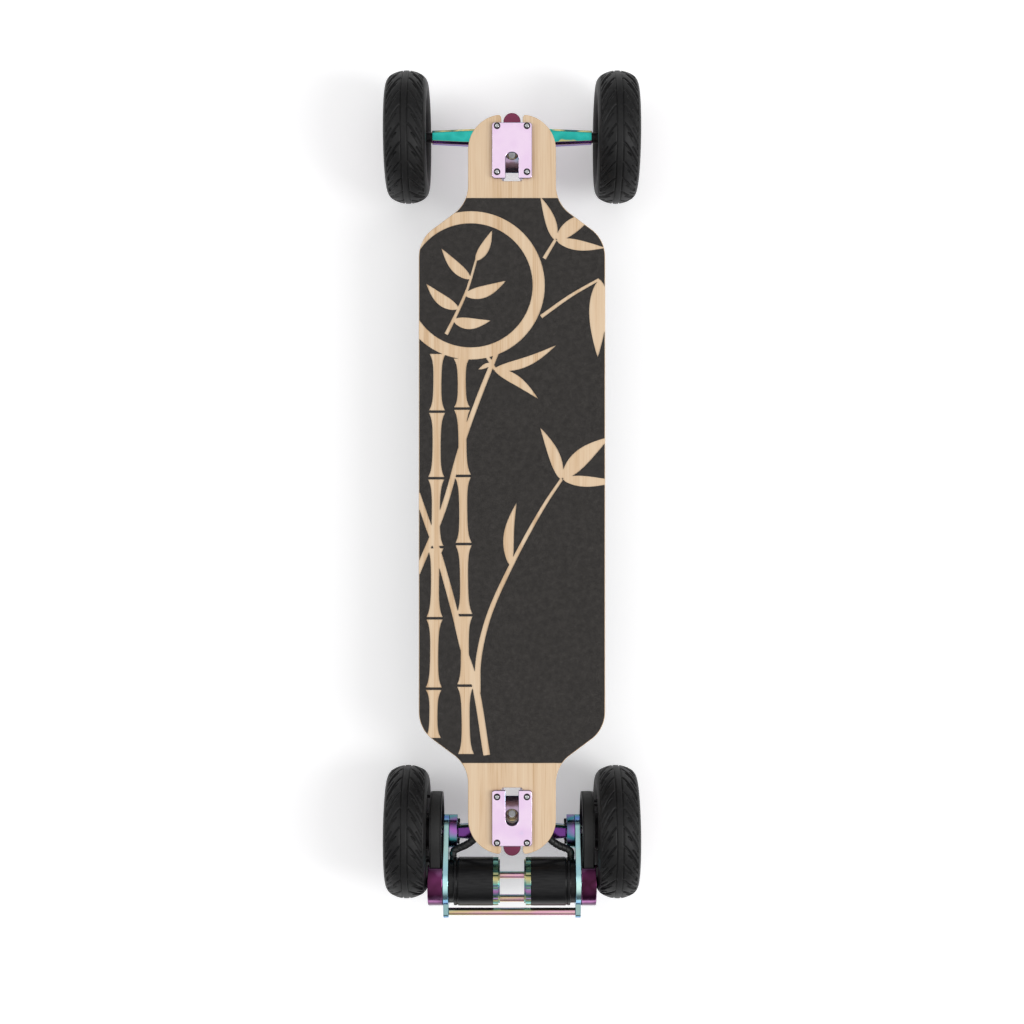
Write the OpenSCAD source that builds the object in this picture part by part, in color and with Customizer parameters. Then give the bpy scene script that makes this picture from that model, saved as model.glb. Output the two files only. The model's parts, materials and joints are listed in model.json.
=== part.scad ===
// Electric skateboard: dropped-through double-kingpin trucks, pneumatic tyres and twin belt drive.
// +Y is towards the nose, +Z up, and the origin is under the middle of the object, on the ground.

/* [Deck] */
// Length of the deck from nose to tail
deck_l = 967.6; // [940:0.1:1000]
// Width of the deck at its waist
deck_w = 244; // [230:1:260]
// Thickness of the bamboo deck
deck_t = 12; // [10:0.5:14]
// Height of the deck's top face
deck_top = 145; // [140:1:150]
// Width of the necks between the wheels
neck_w = 115; // [105:1:120]
// Width of the truck notches at nose and tail
notch_w = 28; // [27:0.5:32]

/* [Wheels] */
// Distance between the axles
wheelbase = 932; // [920:1:940]
// Outer diameter of the tyres
tyre_d = 175; // [165:1:180]
// Distance from the centre line to the middle of each tyre
half_track = 140; // [138:0.5:142]
// Axle diameter
axle_d = 10; // [10:1:10]

/* [Enclosure] */
// Depth of the battery case below the deck
case_depth = 42; // [38:1:46]
// Width of the battery case
case_w = 216; // [208:1:220]

/* [Drive] */
// Teeth on each wheel pulley, of 5 mm pitch
wheel_teeth = 64; // [62:1:64]
// Teeth on each motor pinion
motor_teeth = 15; // [14:1:16]
// How far behind the axle the motors sit
motor_back = 61; // [60:1:62]
// How far above the axle the motors sit
motor_up = 24; // [23:1:25]
// Diameter of the motors
motor_d = 63; // [60:1:63]

/* [Hidden] */
$fn = 64;

tyre_r = tyre_d / 2;
axle_r = axle_d / 2;
axle_z = tyre_r;
rear_overhang = 107.2;
front_y = (wheelbase + rear_overhang - tyre_r) / 2;
rear_y = front_y - wheelbase;
mid_y = (front_y + rear_y) / 2;
deck_bottom = deck_top - deck_t;
deck_v = deck_top - axle_z;
under_v = deck_v - deck_t;

// Steering geometry in the truck's own frame: [outboard of the axle, above the axle].
inner_slope = 30;
outer_slope = 35;
kingpin_slope = 80;
inner_centre = [-24, 33];
outer_centre = [-16, -4];
inner_dir = [cos(inner_slope), sin(inner_slope)];
inner_up = [-sin(inner_slope), cos(inner_slope)];
outer_dir = [cos(outer_slope), sin(outer_slope)];
outer_up = [-sin(outer_slope), cos(outer_slope)];
kingpin_r = 5;
bush_r = 10;
ring_half = 4;
bush_t = 8;
stack = ring_half + bush_t;
washer_t = 1.5;
nut_t = 6;
base_half = 13;
cheek_half = 10.5;
slot_half = 8.5;
link_half = 11.25;

// Belt drive.
pitch = 5;
wheel_pitch_r = wheel_teeth * pitch / (2 * PI);
motor_pitch_r = motor_teeth * pitch / (2 * PI);
tip_drop = 0.57;
belt_in = 0.3;
belt_out = 1.9;
belt_gap = belt_out + 1.3;
belt_x = [94.8, 107.2];
motor_at = [motor_back, motor_up];
motor_r = motor_d / 2;
motor_x = [16, 84];
plate_x = [84, 91];
clamp_x = [73, 83.9];
clamp_r = 22.2;
stub_r = 9;
bar_r = 5;
bar_at = [[62.6, -15], [91.8, -6], [101.2, 25]];

// Battery case outline: [half width, distance from mid-wheelbase].
case_front = 349;
case_rear = -355;
case_z = deck_bottom - case_depth;
case_half = case_w / 2;
wall = 3;
flange_t = 3;
rib_y = [159.6, 77.2, -6.2, -88.8, -242];
rib_w = 10.7;
side_screw_y = [238, 120, 35, -48, -169, -263];
port_y = -281;
port_z = 113;

function arc(c, r, a0, a1, n) = [for (i = [0:n]) let (a = a0 + (a1 - a0) * i / n) c + r * [cos(a), sin(a)]];
function flip(points) = [for (i = [len(points) - 1:-1:0]) [points[i][0], -points[i][1]]];
function mirrored(points) = [for (i = [len(points) - 1:-1:0]) [-points[i][0], points[i][1]]];
function inner_at(s, o) = inner_centre + s * inner_dir + o * inner_up;
function outer_at(s, o) = outer_centre + s * outer_dir + o * outer_up;
function unit(v) = v / norm(v);

// ---- placing helpers ----
module at_front() { translate([0, front_y, axle_z]) children(); }
module at_rear() { translate([0, rear_y, axle_z]) rotate([0, 0, 180]) children(); }
module both_sides() {
    children();
    mirror([1, 0, 0]) children();
}
// Turns a profile drawn as [outboard, up] into a plate from x0 to x1.
module side_plate(x0, x1) { translate([x0, 0, 0]) rotate([90, 0, 90]) linear_extrude(x1 - x0) children(); }
// Puts +Z along a direction in the truck's middle plane.
module along(p, slope) { translate([0, p[0], p[1]]) rotate([slope - 90, 0, 0]) children(); }
module cross_rod(p, r, x0, x1) {
    translate([x0, p[0], p[1]]) rotate([0, 90, 0]) cylinder(r = r, h = x1 - x0);
}
module disc_ring(r_out, r_in, h) {
    difference() {
        cylinder(r = r_out, h = h);
        translate([0, 0, -1]) cylinder(r = r_in, h = h + 2);
    }
}
// Two circles joined by their outer tangents.
module strap2d(p, rp, q, rq) {
    a = atan2(q[1] - p[1], q[0] - p[0]);
    b = acos((rp - rq) / norm(q - p));
    polygon(concat(arc(p, rp, a + b, a - b + 360, 28), arc(q, rq, a - b, a + b, 20)));
}

// ---- deck ----
lobe_r = 46;
lobe_x = neck_w / 2 - lobe_r;
lobe_y = deck_l / 2 - lobe_r;
corner_r = 4.5;
neck_y = 391;
waist_r = 45;
waist_y = 297.5;
shoulder_a = 50;
notch_y = 396.5;

// Right-hand edge from the nose to the waist, drawn in by e.
function nose_edge(e) =
    let (half = deck_w / 2)
    concat(
        arc([lobe_x, lobe_y], lobe_r - e, 80, 0, 14),
        arc([neck_w / 2 + lobe_r, neck_y], lobe_r + e, 180, 180 + shoulder_a, 10),
        arc([half - waist_r, waist_y], waist_r - e, shoulder_a, 0, 10)
    );
function deck_edge(e) = concat(nose_edge(e), flip(nose_edge(e)));

module notch2d() {
    half = notch_w / 2;
    fillet_x = half + corner_r;
    fillet_y = lobe_y + sqrt(pow(lobe_r - corner_r, 2) - pow(fillet_x - lobe_x, 2));
    difference() {
        polygon([
            [-half + 2, notch_y], [half - 2, notch_y], [half, notch_y + 2.5], [half, fillet_y],
            [fillet_x, deck_l / 2 + 5], [-fillet_x, deck_l / 2 + 5], [-half, fillet_y], [-half, notch_y + 2.5]
        ]);
        for (side = [-1, 1]) translate([side * fillet_x, fillet_y]) circle(corner_r);
    }
}

module deck2d(e) {
    right = deck_edge(e);
    difference() {
        polygon(concat(right, mirrored(right)));
        notch2d();
        mirror([0, 1]) notch2d();
    }
}

module deck() {
    color("BurlyWood")
    difference() {
        translate([0, mid_y, deck_bottom]) linear_extrude(deck_t) deck2d(0);
        baseplate_holes();
        insert_holes(deck_bottom - 1, insert_h + 1);
    }
}

grip_t = 1;
grip_front = 374;
grip_rear = -364;
module grip_tape() {
    color("DimGray")
    translate([0, mid_y, deck_top]) linear_extrude(grip_t) intersection() {
        polygon(concat(deck_edge(1), mirrored(deck_edge(1))));
        translate([-deck_w, grip_rear]) square([2 * deck_w, grip_front - grip_rear]);
    }
}

// ---- battery case ----
insert_h = 8;
screw_r = 2;
screw_spots = concat(
    [for (y = side_screw_y, side = [-1, 1]) [side * 113, y]],
    [for (side = [-1, 1]) [side * 87.5, 330]],
    [for (side = [-1, 1]) [side * 89, -336]]
);
module screw_places() {
    for (p = screw_spots) translate([p[0], mid_y + p[1], 0]) children();
}
module insert_holes(z, h) { screw_places() translate([0, 0, z]) cylinder(r = 3.5, h = h, $fn = 24); }

function tub_edge(e) = [
    [52 - e, case_front - e], [61.7 - e, 341 - e / 2], [case_half - e, 302.6 - e / 2],
    [case_half - e, -312 + e / 2], [64.4 - e, -342 + e / 2], [56 - e, case_rear + e]
];
module tub2d(e) { polygon(concat(tub_edge(e), mirrored(tub_edge(e)))); }
module flange2d(e) {
    intersection() {
        polygon(concat(deck_edge(4 + e), mirrored(deck_edge(4 + e))));
        translate([-deck_w, -368]) square([2 * deck_w, 730]);
    }
}

gasket_t = 1;
module battery_case() {
    flange_z = deck_bottom - gasket_t - flange_t;
    color([0.16, 0.16, 0.16])
    difference() {
        union() {
            translate([0, mid_y, case_z]) linear_extrude(deck_bottom - gasket_t - case_z) tub2d(0);
            translate([0, mid_y, flange_z]) linear_extrude(flange_t) flange2d(0);
            for (y = rib_y) translate([-case_half - 2, mid_y + y - rib_w / 2, case_z - 2.4])
                cube([case_w + 4, rib_w, flange_z - case_z + 3]);
            translate([case_half, mid_y + port_y, port_z]) rotate([0, 90, 0]) cylinder(r = 11, h = 3);
            translate([-case_half - 3, mid_y + port_y, port_z]) rotate([0, 90, 0]) cylinder(r = 11, h = 3);
            cap_ears();
        }
        translate([0, mid_y, case_z + wall]) linear_extrude(case_depth) tub2d(wall);
        screw_places() translate([0, 0, flange_z - 1]) cylinder(r = screw_r, h = flange_t + 2, $fn = 24);
        screw_places() translate([0, 0, flange_z - 3]) cylinder(r = 4.2, h = 3, $fn = 24);
        translate([case_half - wall - 2, mid_y + port_y, port_z]) rotate([0, 90, 0]) cylinder(r = 8, h = 12);
        translate([-case_half - 10, mid_y + port_y, port_z]) rotate([0, 90, 0]) cylinder(r = 7, h = 16);
        translate([-40, mid_y + sink_y - 32, case_z - 5]) cube([80, 64, 12]);
        sink_screws(case_z - 1, 6, 1.6);
        cable_starts() rotate([90, 0, 0]) {
            translate([0, 0, -8]) cylinder(r = 8, h = 20);
            translate([0, 0, 0.05]) cylinder(r = rim_r + 0.15, h = 16);
        }
    }
}

module case_gasket() {
    color([0.1, 0.1, 0.1])
    translate([0, mid_y, deck_bottom - gasket_t]) linear_extrude(gasket_t) difference() {
        flange2d(2);
        tub2d(wall + 1);
        for (p = screw_spots) translate(p) circle(screw_r + 0.5, $fn = 24);
    }
}

module case_screws() {
    flange_z = deck_bottom - gasket_t - flange_t;
    color("DarkSlateGray") {
        screw_places() difference() {
            union() {
                translate([0, 0, flange_z - 2]) cylinder(r = 3.6, h = 2, $fn = 24);
                translate([0, 0, flange_z]) cylinder(r = screw_r - 0.05, h = 10, $fn = 24);
            }
            translate([0, 0, flange_z - 3]) cylinder(r = 1.4, h = 2.2, $fn = 6);
        }
        sink_screws(case_z - sink_t - 1.5, 1.5, 2.8);
        sink_screws(case_z - sink_t, sink_t + 4, 1.55);
    }
}

module deck_inserts() {
    color("Goldenrod") screw_places() translate([0, 0, deck_bottom]) disc_ring(3.5, screw_r, insert_h);
}

sink_y = -293.6;
sink_w = 98.7;
sink_l = 83.6;
sink_t = 3;
module sink_screws(z, h, r) {
    for (x = [-1, 1], y = [-1, 1])
        translate([x * (sink_w / 2 - 5), mid_y + sink_y + y * (sink_l / 2 - 5), z])
            cylinder(r = r, h = h, $fn = 24);
}
module heat_sink() {
    color("DimGray")
    difference() {
        union() {
            translate([0, mid_y + sink_y, case_z - sink_t]) linear_extrude(sink_t) sink2d();
            translate([-39, mid_y + sink_y - 31, case_z - 1]) cube([78, 62, 5]);
        }
        sink_screws(case_z - 5, 12, 1.6);
    }
}
module sink2d() {
    x = sink_w / 2 - 4;
    y = sink_l / 2 - 4;
    polygon(concat(
        arc([x, y], 4, 0, 90, 6), arc([-x, y], 4, 90, 180, 6), arc([-x, -y], 4, 180, 270, 6),
        arc([x, -y], 4, 270, 360, 6)
    ));
    for (side = [-1, 1]) translate([side * 33, -y - 6]) polygon([[-9, 8], [-7, -3], [7, -3], [9, 8]]);
}

cell_r = 10.5;
cell_l = 70;
cell_rows = [208, 118.4, 35.5, -47.5, -132];
cells_across = 8;
cell_pitch = 22;
module battery_cells() {
    color("RoyalBlue")
    for (y = cell_rows, i = [0:cells_across - 1])
        translate([
            (i - (cells_across - 1) / 2) * cell_pitch, mid_y + y - cell_l / 2, case_z + wall + 1 + cell_r
        ])
            rotate([-90, 0, 0]) {
                cylinder(r = cell_r, h = cell_l - 1);
                cylinder(r = 4, h = cell_l, $fn = 24);
            }
}

module battery_board() {
    color("DarkGreen") translate([-70, mid_y + 262, case_z + wall + 6]) cube([140, 46, 1.6]);
    color("Black") for (i = [0:5])
        translate([-60 + i * 22, mid_y + 272, case_z + wall + 7.6]) cube([10, 14, 4.5]);
}

module motor_controller() {
    color("Silver") translate([-36, mid_y + sink_y - 28, case_z + 4]) cube([72, 56, 18]);
    color("Black") for (i = [0:2])
        translate([-22 + i * 22, mid_y + sink_y, case_z + 22]) cylinder(r = 7, h = 9);
}

module radio_receiver() {
    color("DarkGreen") translate([-20, mid_y - 214, case_z + wall + 4]) cube([40, 24, 1.6]);
    color("Silver") translate([-10, mid_y - 210, case_z + wall + 5.6]) cube([18, 14, 2.5]);
}

module at_port() { translate([case_half - wall - 1, mid_y + port_y, port_z]) rotate([0, 90, 0]) children(); }
module charge_socket() {
    color("Silver") at_port() {
        disc_ring(8, 6, 7.5);
        translate([0, 0, -6]) cylinder(r = 8, h = 6.5);
        for (a = [0:120:359]) rotate([0, 0, a]) translate([3, 0, 0]) cylinder(r = 0.8, h = 2, $fn = 24);
    }
}

cap_hinge_x = case_half + 5.2;
cap_hinge_z = port_z + 13;
cap_pin_r = 1;
// Two ears on the case, with the pin that the cap swings on.
module cap_ears() {
    for (y = [-8.4, 5.4]) translate([case_half - 1, mid_y + port_y + y, cap_hinge_z - 2]) {
        cube([cap_hinge_x - case_half + 1, 3, 4]);
        translate([cap_hinge_x - case_half + 1, 0, 2]) rotate([-90, 0, 0]) cylinder(r = 2, h = 3);
    }
    translate([cap_hinge_x, mid_y + port_y - 8, cap_hinge_z]) rotate([-90, 0, 0])
        cylinder(r = cap_pin_r, h = 16);
}
module charge_cap() {
    color([0.12, 0.12, 0.12]) difference() {
        charge_cap_body();
        translate([cap_hinge_x, mid_y + port_y - 9, cap_hinge_z]) rotate([-90, 0, 0])
            cylinder(r = cap_pin_r + 0.06, h = 18);
    }
}
module charge_cap_body() {
    union() {
        translate([case_half + 3.8, mid_y + port_y, port_z]) rotate([0, 90, 0]) cylinder(r = 9.5, h = 3);
        translate([case_half + 3.8, mid_y + port_y - 5, port_z]) cube([3, 10, 11.5]);
        translate([cap_hinge_x, mid_y + port_y - 5, cap_hinge_z]) rotate([-90, 0, 0])
            cylinder(r = 1.9, h = 10);
    }
}

module power_button() {
    color("DarkRed") translate([-case_half - 5.5, mid_y + port_y, port_z]) rotate([0, 90, 0]) {
        cylinder(r = 6.93, h = 7.5);
        translate([0, 0, 7.5]) cylinder(r = 4, h = 3);
    }
}

// ---- motor cables ----
cable_r = 5;
// Route of the right-hand cable in the rear truck's frame: [side, behind the axle, above the axle].
cable_route = [
    [33, -115, 37], [33, -80, 37], [33, -52, 37], [34, -30, 36], [39, -12, 33], [50, 4, 28], [61, 13, 24.5],
    [70, 17.5, 21.5], [76.3, 20.8, 20.9], [78.3, 24.5, 21], [78.3, 28.5, 21]
];
cable_end = cable_route[len(cable_route) - 1];
gland_r = 4.6;
function smooth(p, n) = concat(
    [for (i = [0:len(p) - 2], k = [0:n - 1])
        let (
            a = p[max(i - 1, 0)], b = p[i], c = p[i + 1], d = p[min(i + 2, len(p) - 1)], t = k / n
        ) 0.5 * (2 * b + (c - a) * t + (2 * a - 5 * b + 4 * c - d) * t * t
            + (3 * b - a - 3 * c + d) * t * t * t)],
    [p[len(p) - 1]]
);
module sweep(points, r, sides) {
    n = len(points);
    rings = [for (i = [0:n - 1])
        let (
            t = unit(points[min(i + 1, n - 1)] - points[max(i - 1, 0)]),
            u = unit(cross(t, [0, 0, 1])),
            v = cross(t, u)
        ) for (k = [0:sides - 1]) points[i] + r * (cos(360 * k / sides) * u + sin(360 * k / sides) * v)];
    polyhedron(rings, concat(
        [[for (k = [0:sides - 1]) k]],
        [[for (k = [sides - 1:-1:0]) (n - 1) * sides + k]],
        [for (i = [0:n - 2], k = [0:sides - 1]) let (m = (k + 1) % sides)
            [i * sides + k, (i + 1) * sides + k, (i + 1) * sides + m, i * sides + m]]
    ));
}
rim_r = 8.4;
module cable_starts() {
    for (side = [-1, 1]) translate([side * 33, mid_y + case_rear, deck_top - deck_t - 9 + 0.5]) children();
}
module motor_cables() {
    color([0.08, 0.08, 0.08]) at_rear() both_sides() sweep(smooth(cable_route, 2), cable_r, 10);
}
module cable_grommets() {
    color([0.06, 0.06, 0.06])
    cable_starts() rotate([90, 0, 0]) difference() {
        union() {
            translate([0, 0, -4]) cylinder(r = 7.9, h = 10);
            translate([0, 0, 0.1]) cylinder(r = rim_r, h = 3);
        }
        translate([0, 0, -5]) cylinder(r = cable_r + 0.1, h = 14);
        // Flattened below the gasket.
        translate([-10, 7.3, -6]) cube([20, 4, 20]);
    }
}

// ---- trucks ----
plate_t = 5;
plate_half = 26.15;
plate_u = [-66.6, 6];
bolt_at = [for (x = [-19.5, 19.5], u = [-58.5, 1.5]) [x, u]];

module plate2d(slot_u) {
    r = 4;
    difference() {
        union() {
            translate([-plate_half, plate_u[0] + r])
                square([2 * plate_half, plate_u[1] - plate_u[0] - 2 * r]);
            translate([-plate_half + r, plate_u[0]]) square([2 * (plate_half - r), plate_u[1] - plate_u[0]]);
            for (x = [-1, 1], u = [plate_u[0] + r, plate_u[1] - r])
                translate([x * (plate_half - r), u]) circle(r);
        }
        translate([-slot_half, plate_u[0] - 1]) square([2 * slot_half, slot_u - slot_half - plate_u[0] + 1]);
        translate([0, slot_u - slot_half]) circle(slot_half);
        for (p = bolt_at) translate(p) circle(2.6, $fn = 32);
    }
}

// Plate on top of the deck, with the cheeks and the sloping web that hold the inner kingpin below it.
module baseplate(slot_u) {
    cheek = [
        [-66, deck_v + 0.5], [-66, 40], [-56, 15], inner_at(-32, -4), inner_at(33.5, -4),
        inner_at(33.5, 0), [5, deck_v + 0.5]
    ];
    color("Plum")
    difference() {
        union() {
            translate([0, 0, deck_v]) linear_extrude(plate_t) plate2d(slot_u);
            for (side = [-1, 1])
                side_plate(side > 0 ? cheek_half : -base_half, side > 0 ? base_half : -cheek_half)
                    polygon(cheek);
            side_plate(-base_half + 0.1, base_half - 0.1) polygon([
                inner_at(-31, -3.9), inner_at(33, -3.9), inner_at(33, 4), inner_at(-30, 4)
            ]);
            side_plate(-base_half + 0.2, base_half - 0.2) polygon([
                [-8, deck_v + 0.4], inner_at(15.5, 3), inner_at(32.5, 3), [4.4, deck_v + 0.4]
            ]);
            along(inner_at(16, 0), inner_slope) cylinder(r = 9, h = 18);
        }
        along(inner_at(20, 0), inner_slope) cylinder(r = 7.5, h = 20);
        along(inner_at(0, -8), inner_slope + 90) cylinder(r = 7, h = 16);
    }
}

module kingpin_stack(p, slope, lower) {
    // Bushings above and below the ring.
    along(p, slope) {
        translate([0, 0, ring_half]) disc_ring(bush_r, kingpin_r + 0.2, bush_t);
        translate([0, 0, -ring_half - bush_t]) disc_ring(bush_r + lower, kingpin_r + 0.2, bush_t);
    }
}

module inner_bushings() {
    color("WhiteSmoke") {
        kingpin_stack(inner_centre, inner_slope + 90, 0);
        along(inner_at(20, 0), inner_slope) disc_ring(7.45, 5.6, 13.5);
    }
}

module link() {
    side = [
        inner_at(-13, -stack), inner_at(35, -stack), inner_at(35, 0.8), [inner_at(35, 0.8)[0], 54.8],
        [20.25, 54.8], [20.25, 12], outer_at(31, -9), outer_at(31, 8), outer_at(19, 8), [-8, 12.5],
        [-22, 12.5], [-29, 13.5]
    ];
    color("MediumPurple")
    difference() {
        union() {
            intersection() {
                side_plate(-link_half, link_half) polygon(side);
                union() {
                    translate([-11, -40, 0]) cube([22, 49, 60]);
                    translate([0, 9, 0]) cylinder(r = link_half, h = 60);
                }
            }
            along(outer_centre, kingpin_slope) translate([0, 0, stack]) cylinder(r = bush_r, h = 8);
            along(inner_at(22, 0), inner_slope) cylinder(r = 5.5, h = 16);
        }
        along(outer_at(31, 0), outer_slope) translate([0, 0, -0.01]) cylinder(r = 7, h = 8.5);
        along(inner_centre, inner_slope - 90) cylinder(r = kingpin_r, h = 17);
        along(outer_centre, kingpin_slope) cylinder(r = kingpin_r, h = 17);
    }
}

module kingpins() {
    color("Silver") {
        along(inner_centre, inner_slope + 90) translate([0, 0, -17]) cylinder(r = kingpin_r, h = 17 + 20.5);
        along(outer_centre, kingpin_slope) translate([0, 0, -20.5]) cylinder(r = kingpin_r, h = 37.5);
    }
}

module kingpin_nut(washer_r, nut_r) {
    disc_ring(washer_r, kingpin_r, washer_t);
    translate([0, 0, washer_t]) difference() {
        cylinder(r = nut_r, h = nut_t, $fn = 6);
        translate([0, 0, -1]) cylinder(r = kingpin_r, h = nut_t + 2, $fn = 48);
    }
}

module kingpin_nuts() {
    color("Khaki") {
        along(inner_centre, inner_slope + 90) translate([0, 0, stack]) kingpin_nut(8, 6.9);
        along(outer_centre, kingpin_slope + 180) translate([0, 0, stack]) kingpin_nut(10, 8.4);
    }
}

module outer_bushings() {
    color("WhiteSmoke") {
        kingpin_stack(outer_centre, kingpin_slope, 1);
        along(outer_at(31, 0), outer_slope) disc_ring(6.95, 5.1, 8);
    }
}

beam_top = 8;
beam_bottom = -12;
module arm_section(x, depth, bottom, top, chamfer) {
    d = depth / 2;
    side_plate(x, x + 0.1) polygon([
        [-d, bottom + chamfer], [-d + chamfer, bottom], [d - chamfer, bottom], [d, bottom + chamfer],
        [d, top - chamfer], [d - chamfer, top], [-d + chamfer, top], [-d, top - chamfer]
    ]);
}

// Hanger: a round-tipped middle with the bushing bowl, and two tapering arms.
module hanger_middle() {
    wing = [[25.5, 27], [25.5, 13], [14, -12]];
    along(outer_centre, kingpin_slope) translate([0, 0, -13]) linear_extrude(13.5 + ring_half) {
        polygon(concat([[-14, -12], [-25.5, 13], [-25.5, 27]], [for (i = [0:2]) wing[i]]));
        translate([0, -5]) circle(14.6);
    }
    side_plate(-25.2, 25.2) polygon([
        [-4, beam_bottom], [8, beam_bottom], [12, beam_bottom + 4], [12, beam_top - 3.5],
        [8.5, beam_top], [-4, beam_top]
    ]);
}
module hanger(arm_end, holes) {
    color("Turquoise") {
        along(outer_at(20.5, 0), outer_slope) cylinder(r = 5, h = 17.7);
        along(outer_at(25, 0), outer_slope) cylinder(r = 6.6, h = 5.5);
        difference() {
            union() {
                hanger_middle();
                both_sides() hull() {
                    arm_section(27.2, 24, beam_bottom, beam_top, 3.25);
                    arm_section(arm_end, 17.5, -8, 7.5, 3.45);
                }
                side_plate(-30, 30) polygon([[-7, -9], [9, -9], [9, 5], [-7, 5]]);
            }
            along(outer_centre, kingpin_slope) {
                translate([0, 0, -20]) cylinder(r = 13, h = 20 - ring_half);
                translate([0, 0, -10]) cylinder(r = 8, h = 20);
                translate([0, 0, ring_half]) cylinder(r = 14.2, h = 30);
            }
            cross_rod([0, 0], axle_r, -arm_end - 1, -60);
            cross_rod([0, 0], axle_r, 60, arm_end + 1);
            if (holes) both_sides() translate([54, 0, -20]) cylinder(r = 1.8, h = 14);
        }
    }
}

module front_hanger() { at_front() hanger(107, false); }
module rear_hanger() {
    at_rear() {
        hanger(72, true);
        color("Turquoise") both_sides() difference() {
            cross_rod([0, 0], stub_r, 72, 93);
            cross_rod([0, 0], axle_r, 70, 95);
        }
    }
}

bearing_in = 121;
bearing_out = 159;
module axle(shoulder) {
    color("Gainsboro") both_sides() {
        cross_rod([0, 0], axle_r - 0.02, 61, 167.8);
        cross_rod([0, 0], 7.2, shoulder, bearing_in - 0.3);
    }
}
module axle_nuts() {
    color("Silver") both_sides() translate([bearing_out + 0.3, 0, 0]) rotate([0, 90, 0]) {
        disc_ring(7, axle_r, 1);
        translate([0, 0, 1]) difference() {
            cylinder(r = 9.2, h = 7, $fn = 6);
            translate([0, 0, -1]) cylinder(r = axle_r, h = 9, $fn = 48);
        }
    }
}

// ---- wheels, built with the spin axis on Z and the outboard side up ----
module at_wheel(side, y) {
    translate([side * half_track, y, axle_z]) rotate([0, side * 90, 0]) children();
}
function tyre_side(crown, wall_r, drop, end) =
    let (
        r0 = tyre_r - drop - crown,
        r1 = r0 + crown * cos(30),
        x1 = crown * sin(30),
        c = [r1 - wall_r * cos(30), x1 - wall_r * sin(30)]
    )
    concat(
        [for (a = [4:6.5:30]) [r0 + crown * cos(a), crown * sin(a)]],
        [for (a = [40:11.5:end]) c + wall_r * [cos(a), sin(a)]]
    );
function both_edges(p) = concat(
    [for (i = [len(p) - 1:-1:0]) [p[i][0], -p[i][1]]],
    p
);
bead_r = 48;
module tyre() {
    color([0.1, 0.1, 0.1]) rotate_extrude($fn = 96) difference() {
        polygon(both_edges(concat([[tyre_r, 3]], tyre_side(40, 16, 0, 155), [[51.5, 16], [bead_r, 16]])));
        polygon(both_edges(concat(tyre_side(40, 12, 4.5, 150), [[bead_r + 1, 10], [bead_r - 1, 10]])));
    }
}

module rim() {
    color("RosyBrown") {
        rotate_extrude($fn = 96) {
            polygon([
                [bead_r - 5, -20], [51, -20], [51, -17.2], [bead_r - 0.1, -16.2], [bead_r - 0.1, 16.2],
                [51, 17.2], [51, 20], [bead_r - 5, 20]
            ]);
            polygon([[13, -19], [17, -19], [17, 19], [13, 19], [13, 11], [8, 11], [8, -11], [13, -11]]);
        }
        for (a = [0:72:359]) rotate([0, 0, a]) translate([16, -5, -9]) cube([28, 10, 18]);
    }
}

module bearings() {
    color("Silver") for (z = [-19, 11]) translate([0, 0, z]) {
        disc_ring(12.99, 10.9, 8);
        disc_ring(7.6, axle_r + 0.03, 8);
        translate([0, 0, 1]) disc_ring(10.9, 7.6, 6);
    }
}

module wheel_pulley() {
    tip_r = wheel_pitch_r - tip_drop;
    color([0.14, 0.14, 0.14]) difference() {
        union() {
            translate([0, 0, -46]) linear_extrude(13.5) difference() {
                circle(tip_r, $fn = 128);
                for (i = [0:wheel_teeth - 1])
                    rotate(360 * i / wheel_teeth) translate([tip_r, 0]) circle(1.4, $fn = 16);
            }
            translate([0, 0, -47]) cylinder(r = 52.6, h = 1.2, $fn = 96);
            translate([0, 0, -32.5]) cylinder(r = 52.6, h = 1.5, $fn = 96);
            translate([0, 0, -31]) disc_ring(24, 15, 12);
        }
        translate([0, 0, -48]) cylinder(r = 24, h = 40);
        translate([0, 0, -48]) disc_ring(45, 24, 9);
    }
    color([0.14, 0.14, 0.14]) {
        translate([0, 0, -39]) disc_ring(24.5, 14.5, 20);
        for (a = [36:72:359]) rotate([0, 0, a]) translate([46, 0, -31]) cylinder(r = 2, h = 11, $fn = 24);
    }
}

module motor_pinion() {
    tip_r = motor_pitch_r - tip_drop;
    color("Silver") {
        cross_rod(motor_at, 3.96, 77, 108);
        translate([94, motor_at[0], motor_at[1]]) rotate([0, 90, 0]) linear_extrude(14) difference() {
            circle(tip_r);
            for (i = [0:motor_teeth - 1])
                rotate(360 * i / motor_teeth) translate([tip_r, 0]) circle(1.4, $fn = 16);
        }
    }
}

// ---- motor drive, on the rear hanger ----
module mount2d() {
    difference() {
        union() {
            strap2d([0, 0], clamp_r, motor_at, motor_r - 1);
            strap2d(motor_at, 24, bar_at[0], 8);
            strap2d(bar_at[0], 7.6, bar_at[1], 7.7);
            strap2d(motor_at, 22, bar_at[1], 8);
            strap2d(motor_at, 20, bar_at[2], 8);
        }
        circle(stub_r);
        translate(motor_at) circle(12.4);
        for (p = bar_at) translate(p) circle(3);
        for (a = [45:90:359]) translate(16 * [cos(a), sin(a)]) circle(2, $fn = 24);
    }
}
module motor_mounts() {
    color("DarkTurquoise") at_rear() both_sides() side_plate(plate_x[0], plate_x[1]) mount2d();
}
module mount_clamps() {
    color("Teal") at_rear() both_sides() difference() {
        side_plate(clamp_x[0], clamp_x[1]) difference() {
            circle(clamp_r);
            circle(stub_r);
            for (a = [45:90:359]) translate(16 * [cos(a), sin(a)]) circle(2, $fn = 24);
        }
        translate([(clamp_x[0] + clamp_x[1]) / 2 - 0.6, -30, -30]) cube([1.2, 60, 14]);
        translate([78.5, 0, -30]) cylinder(r = 1.8, h = 12);
    }
}
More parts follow.
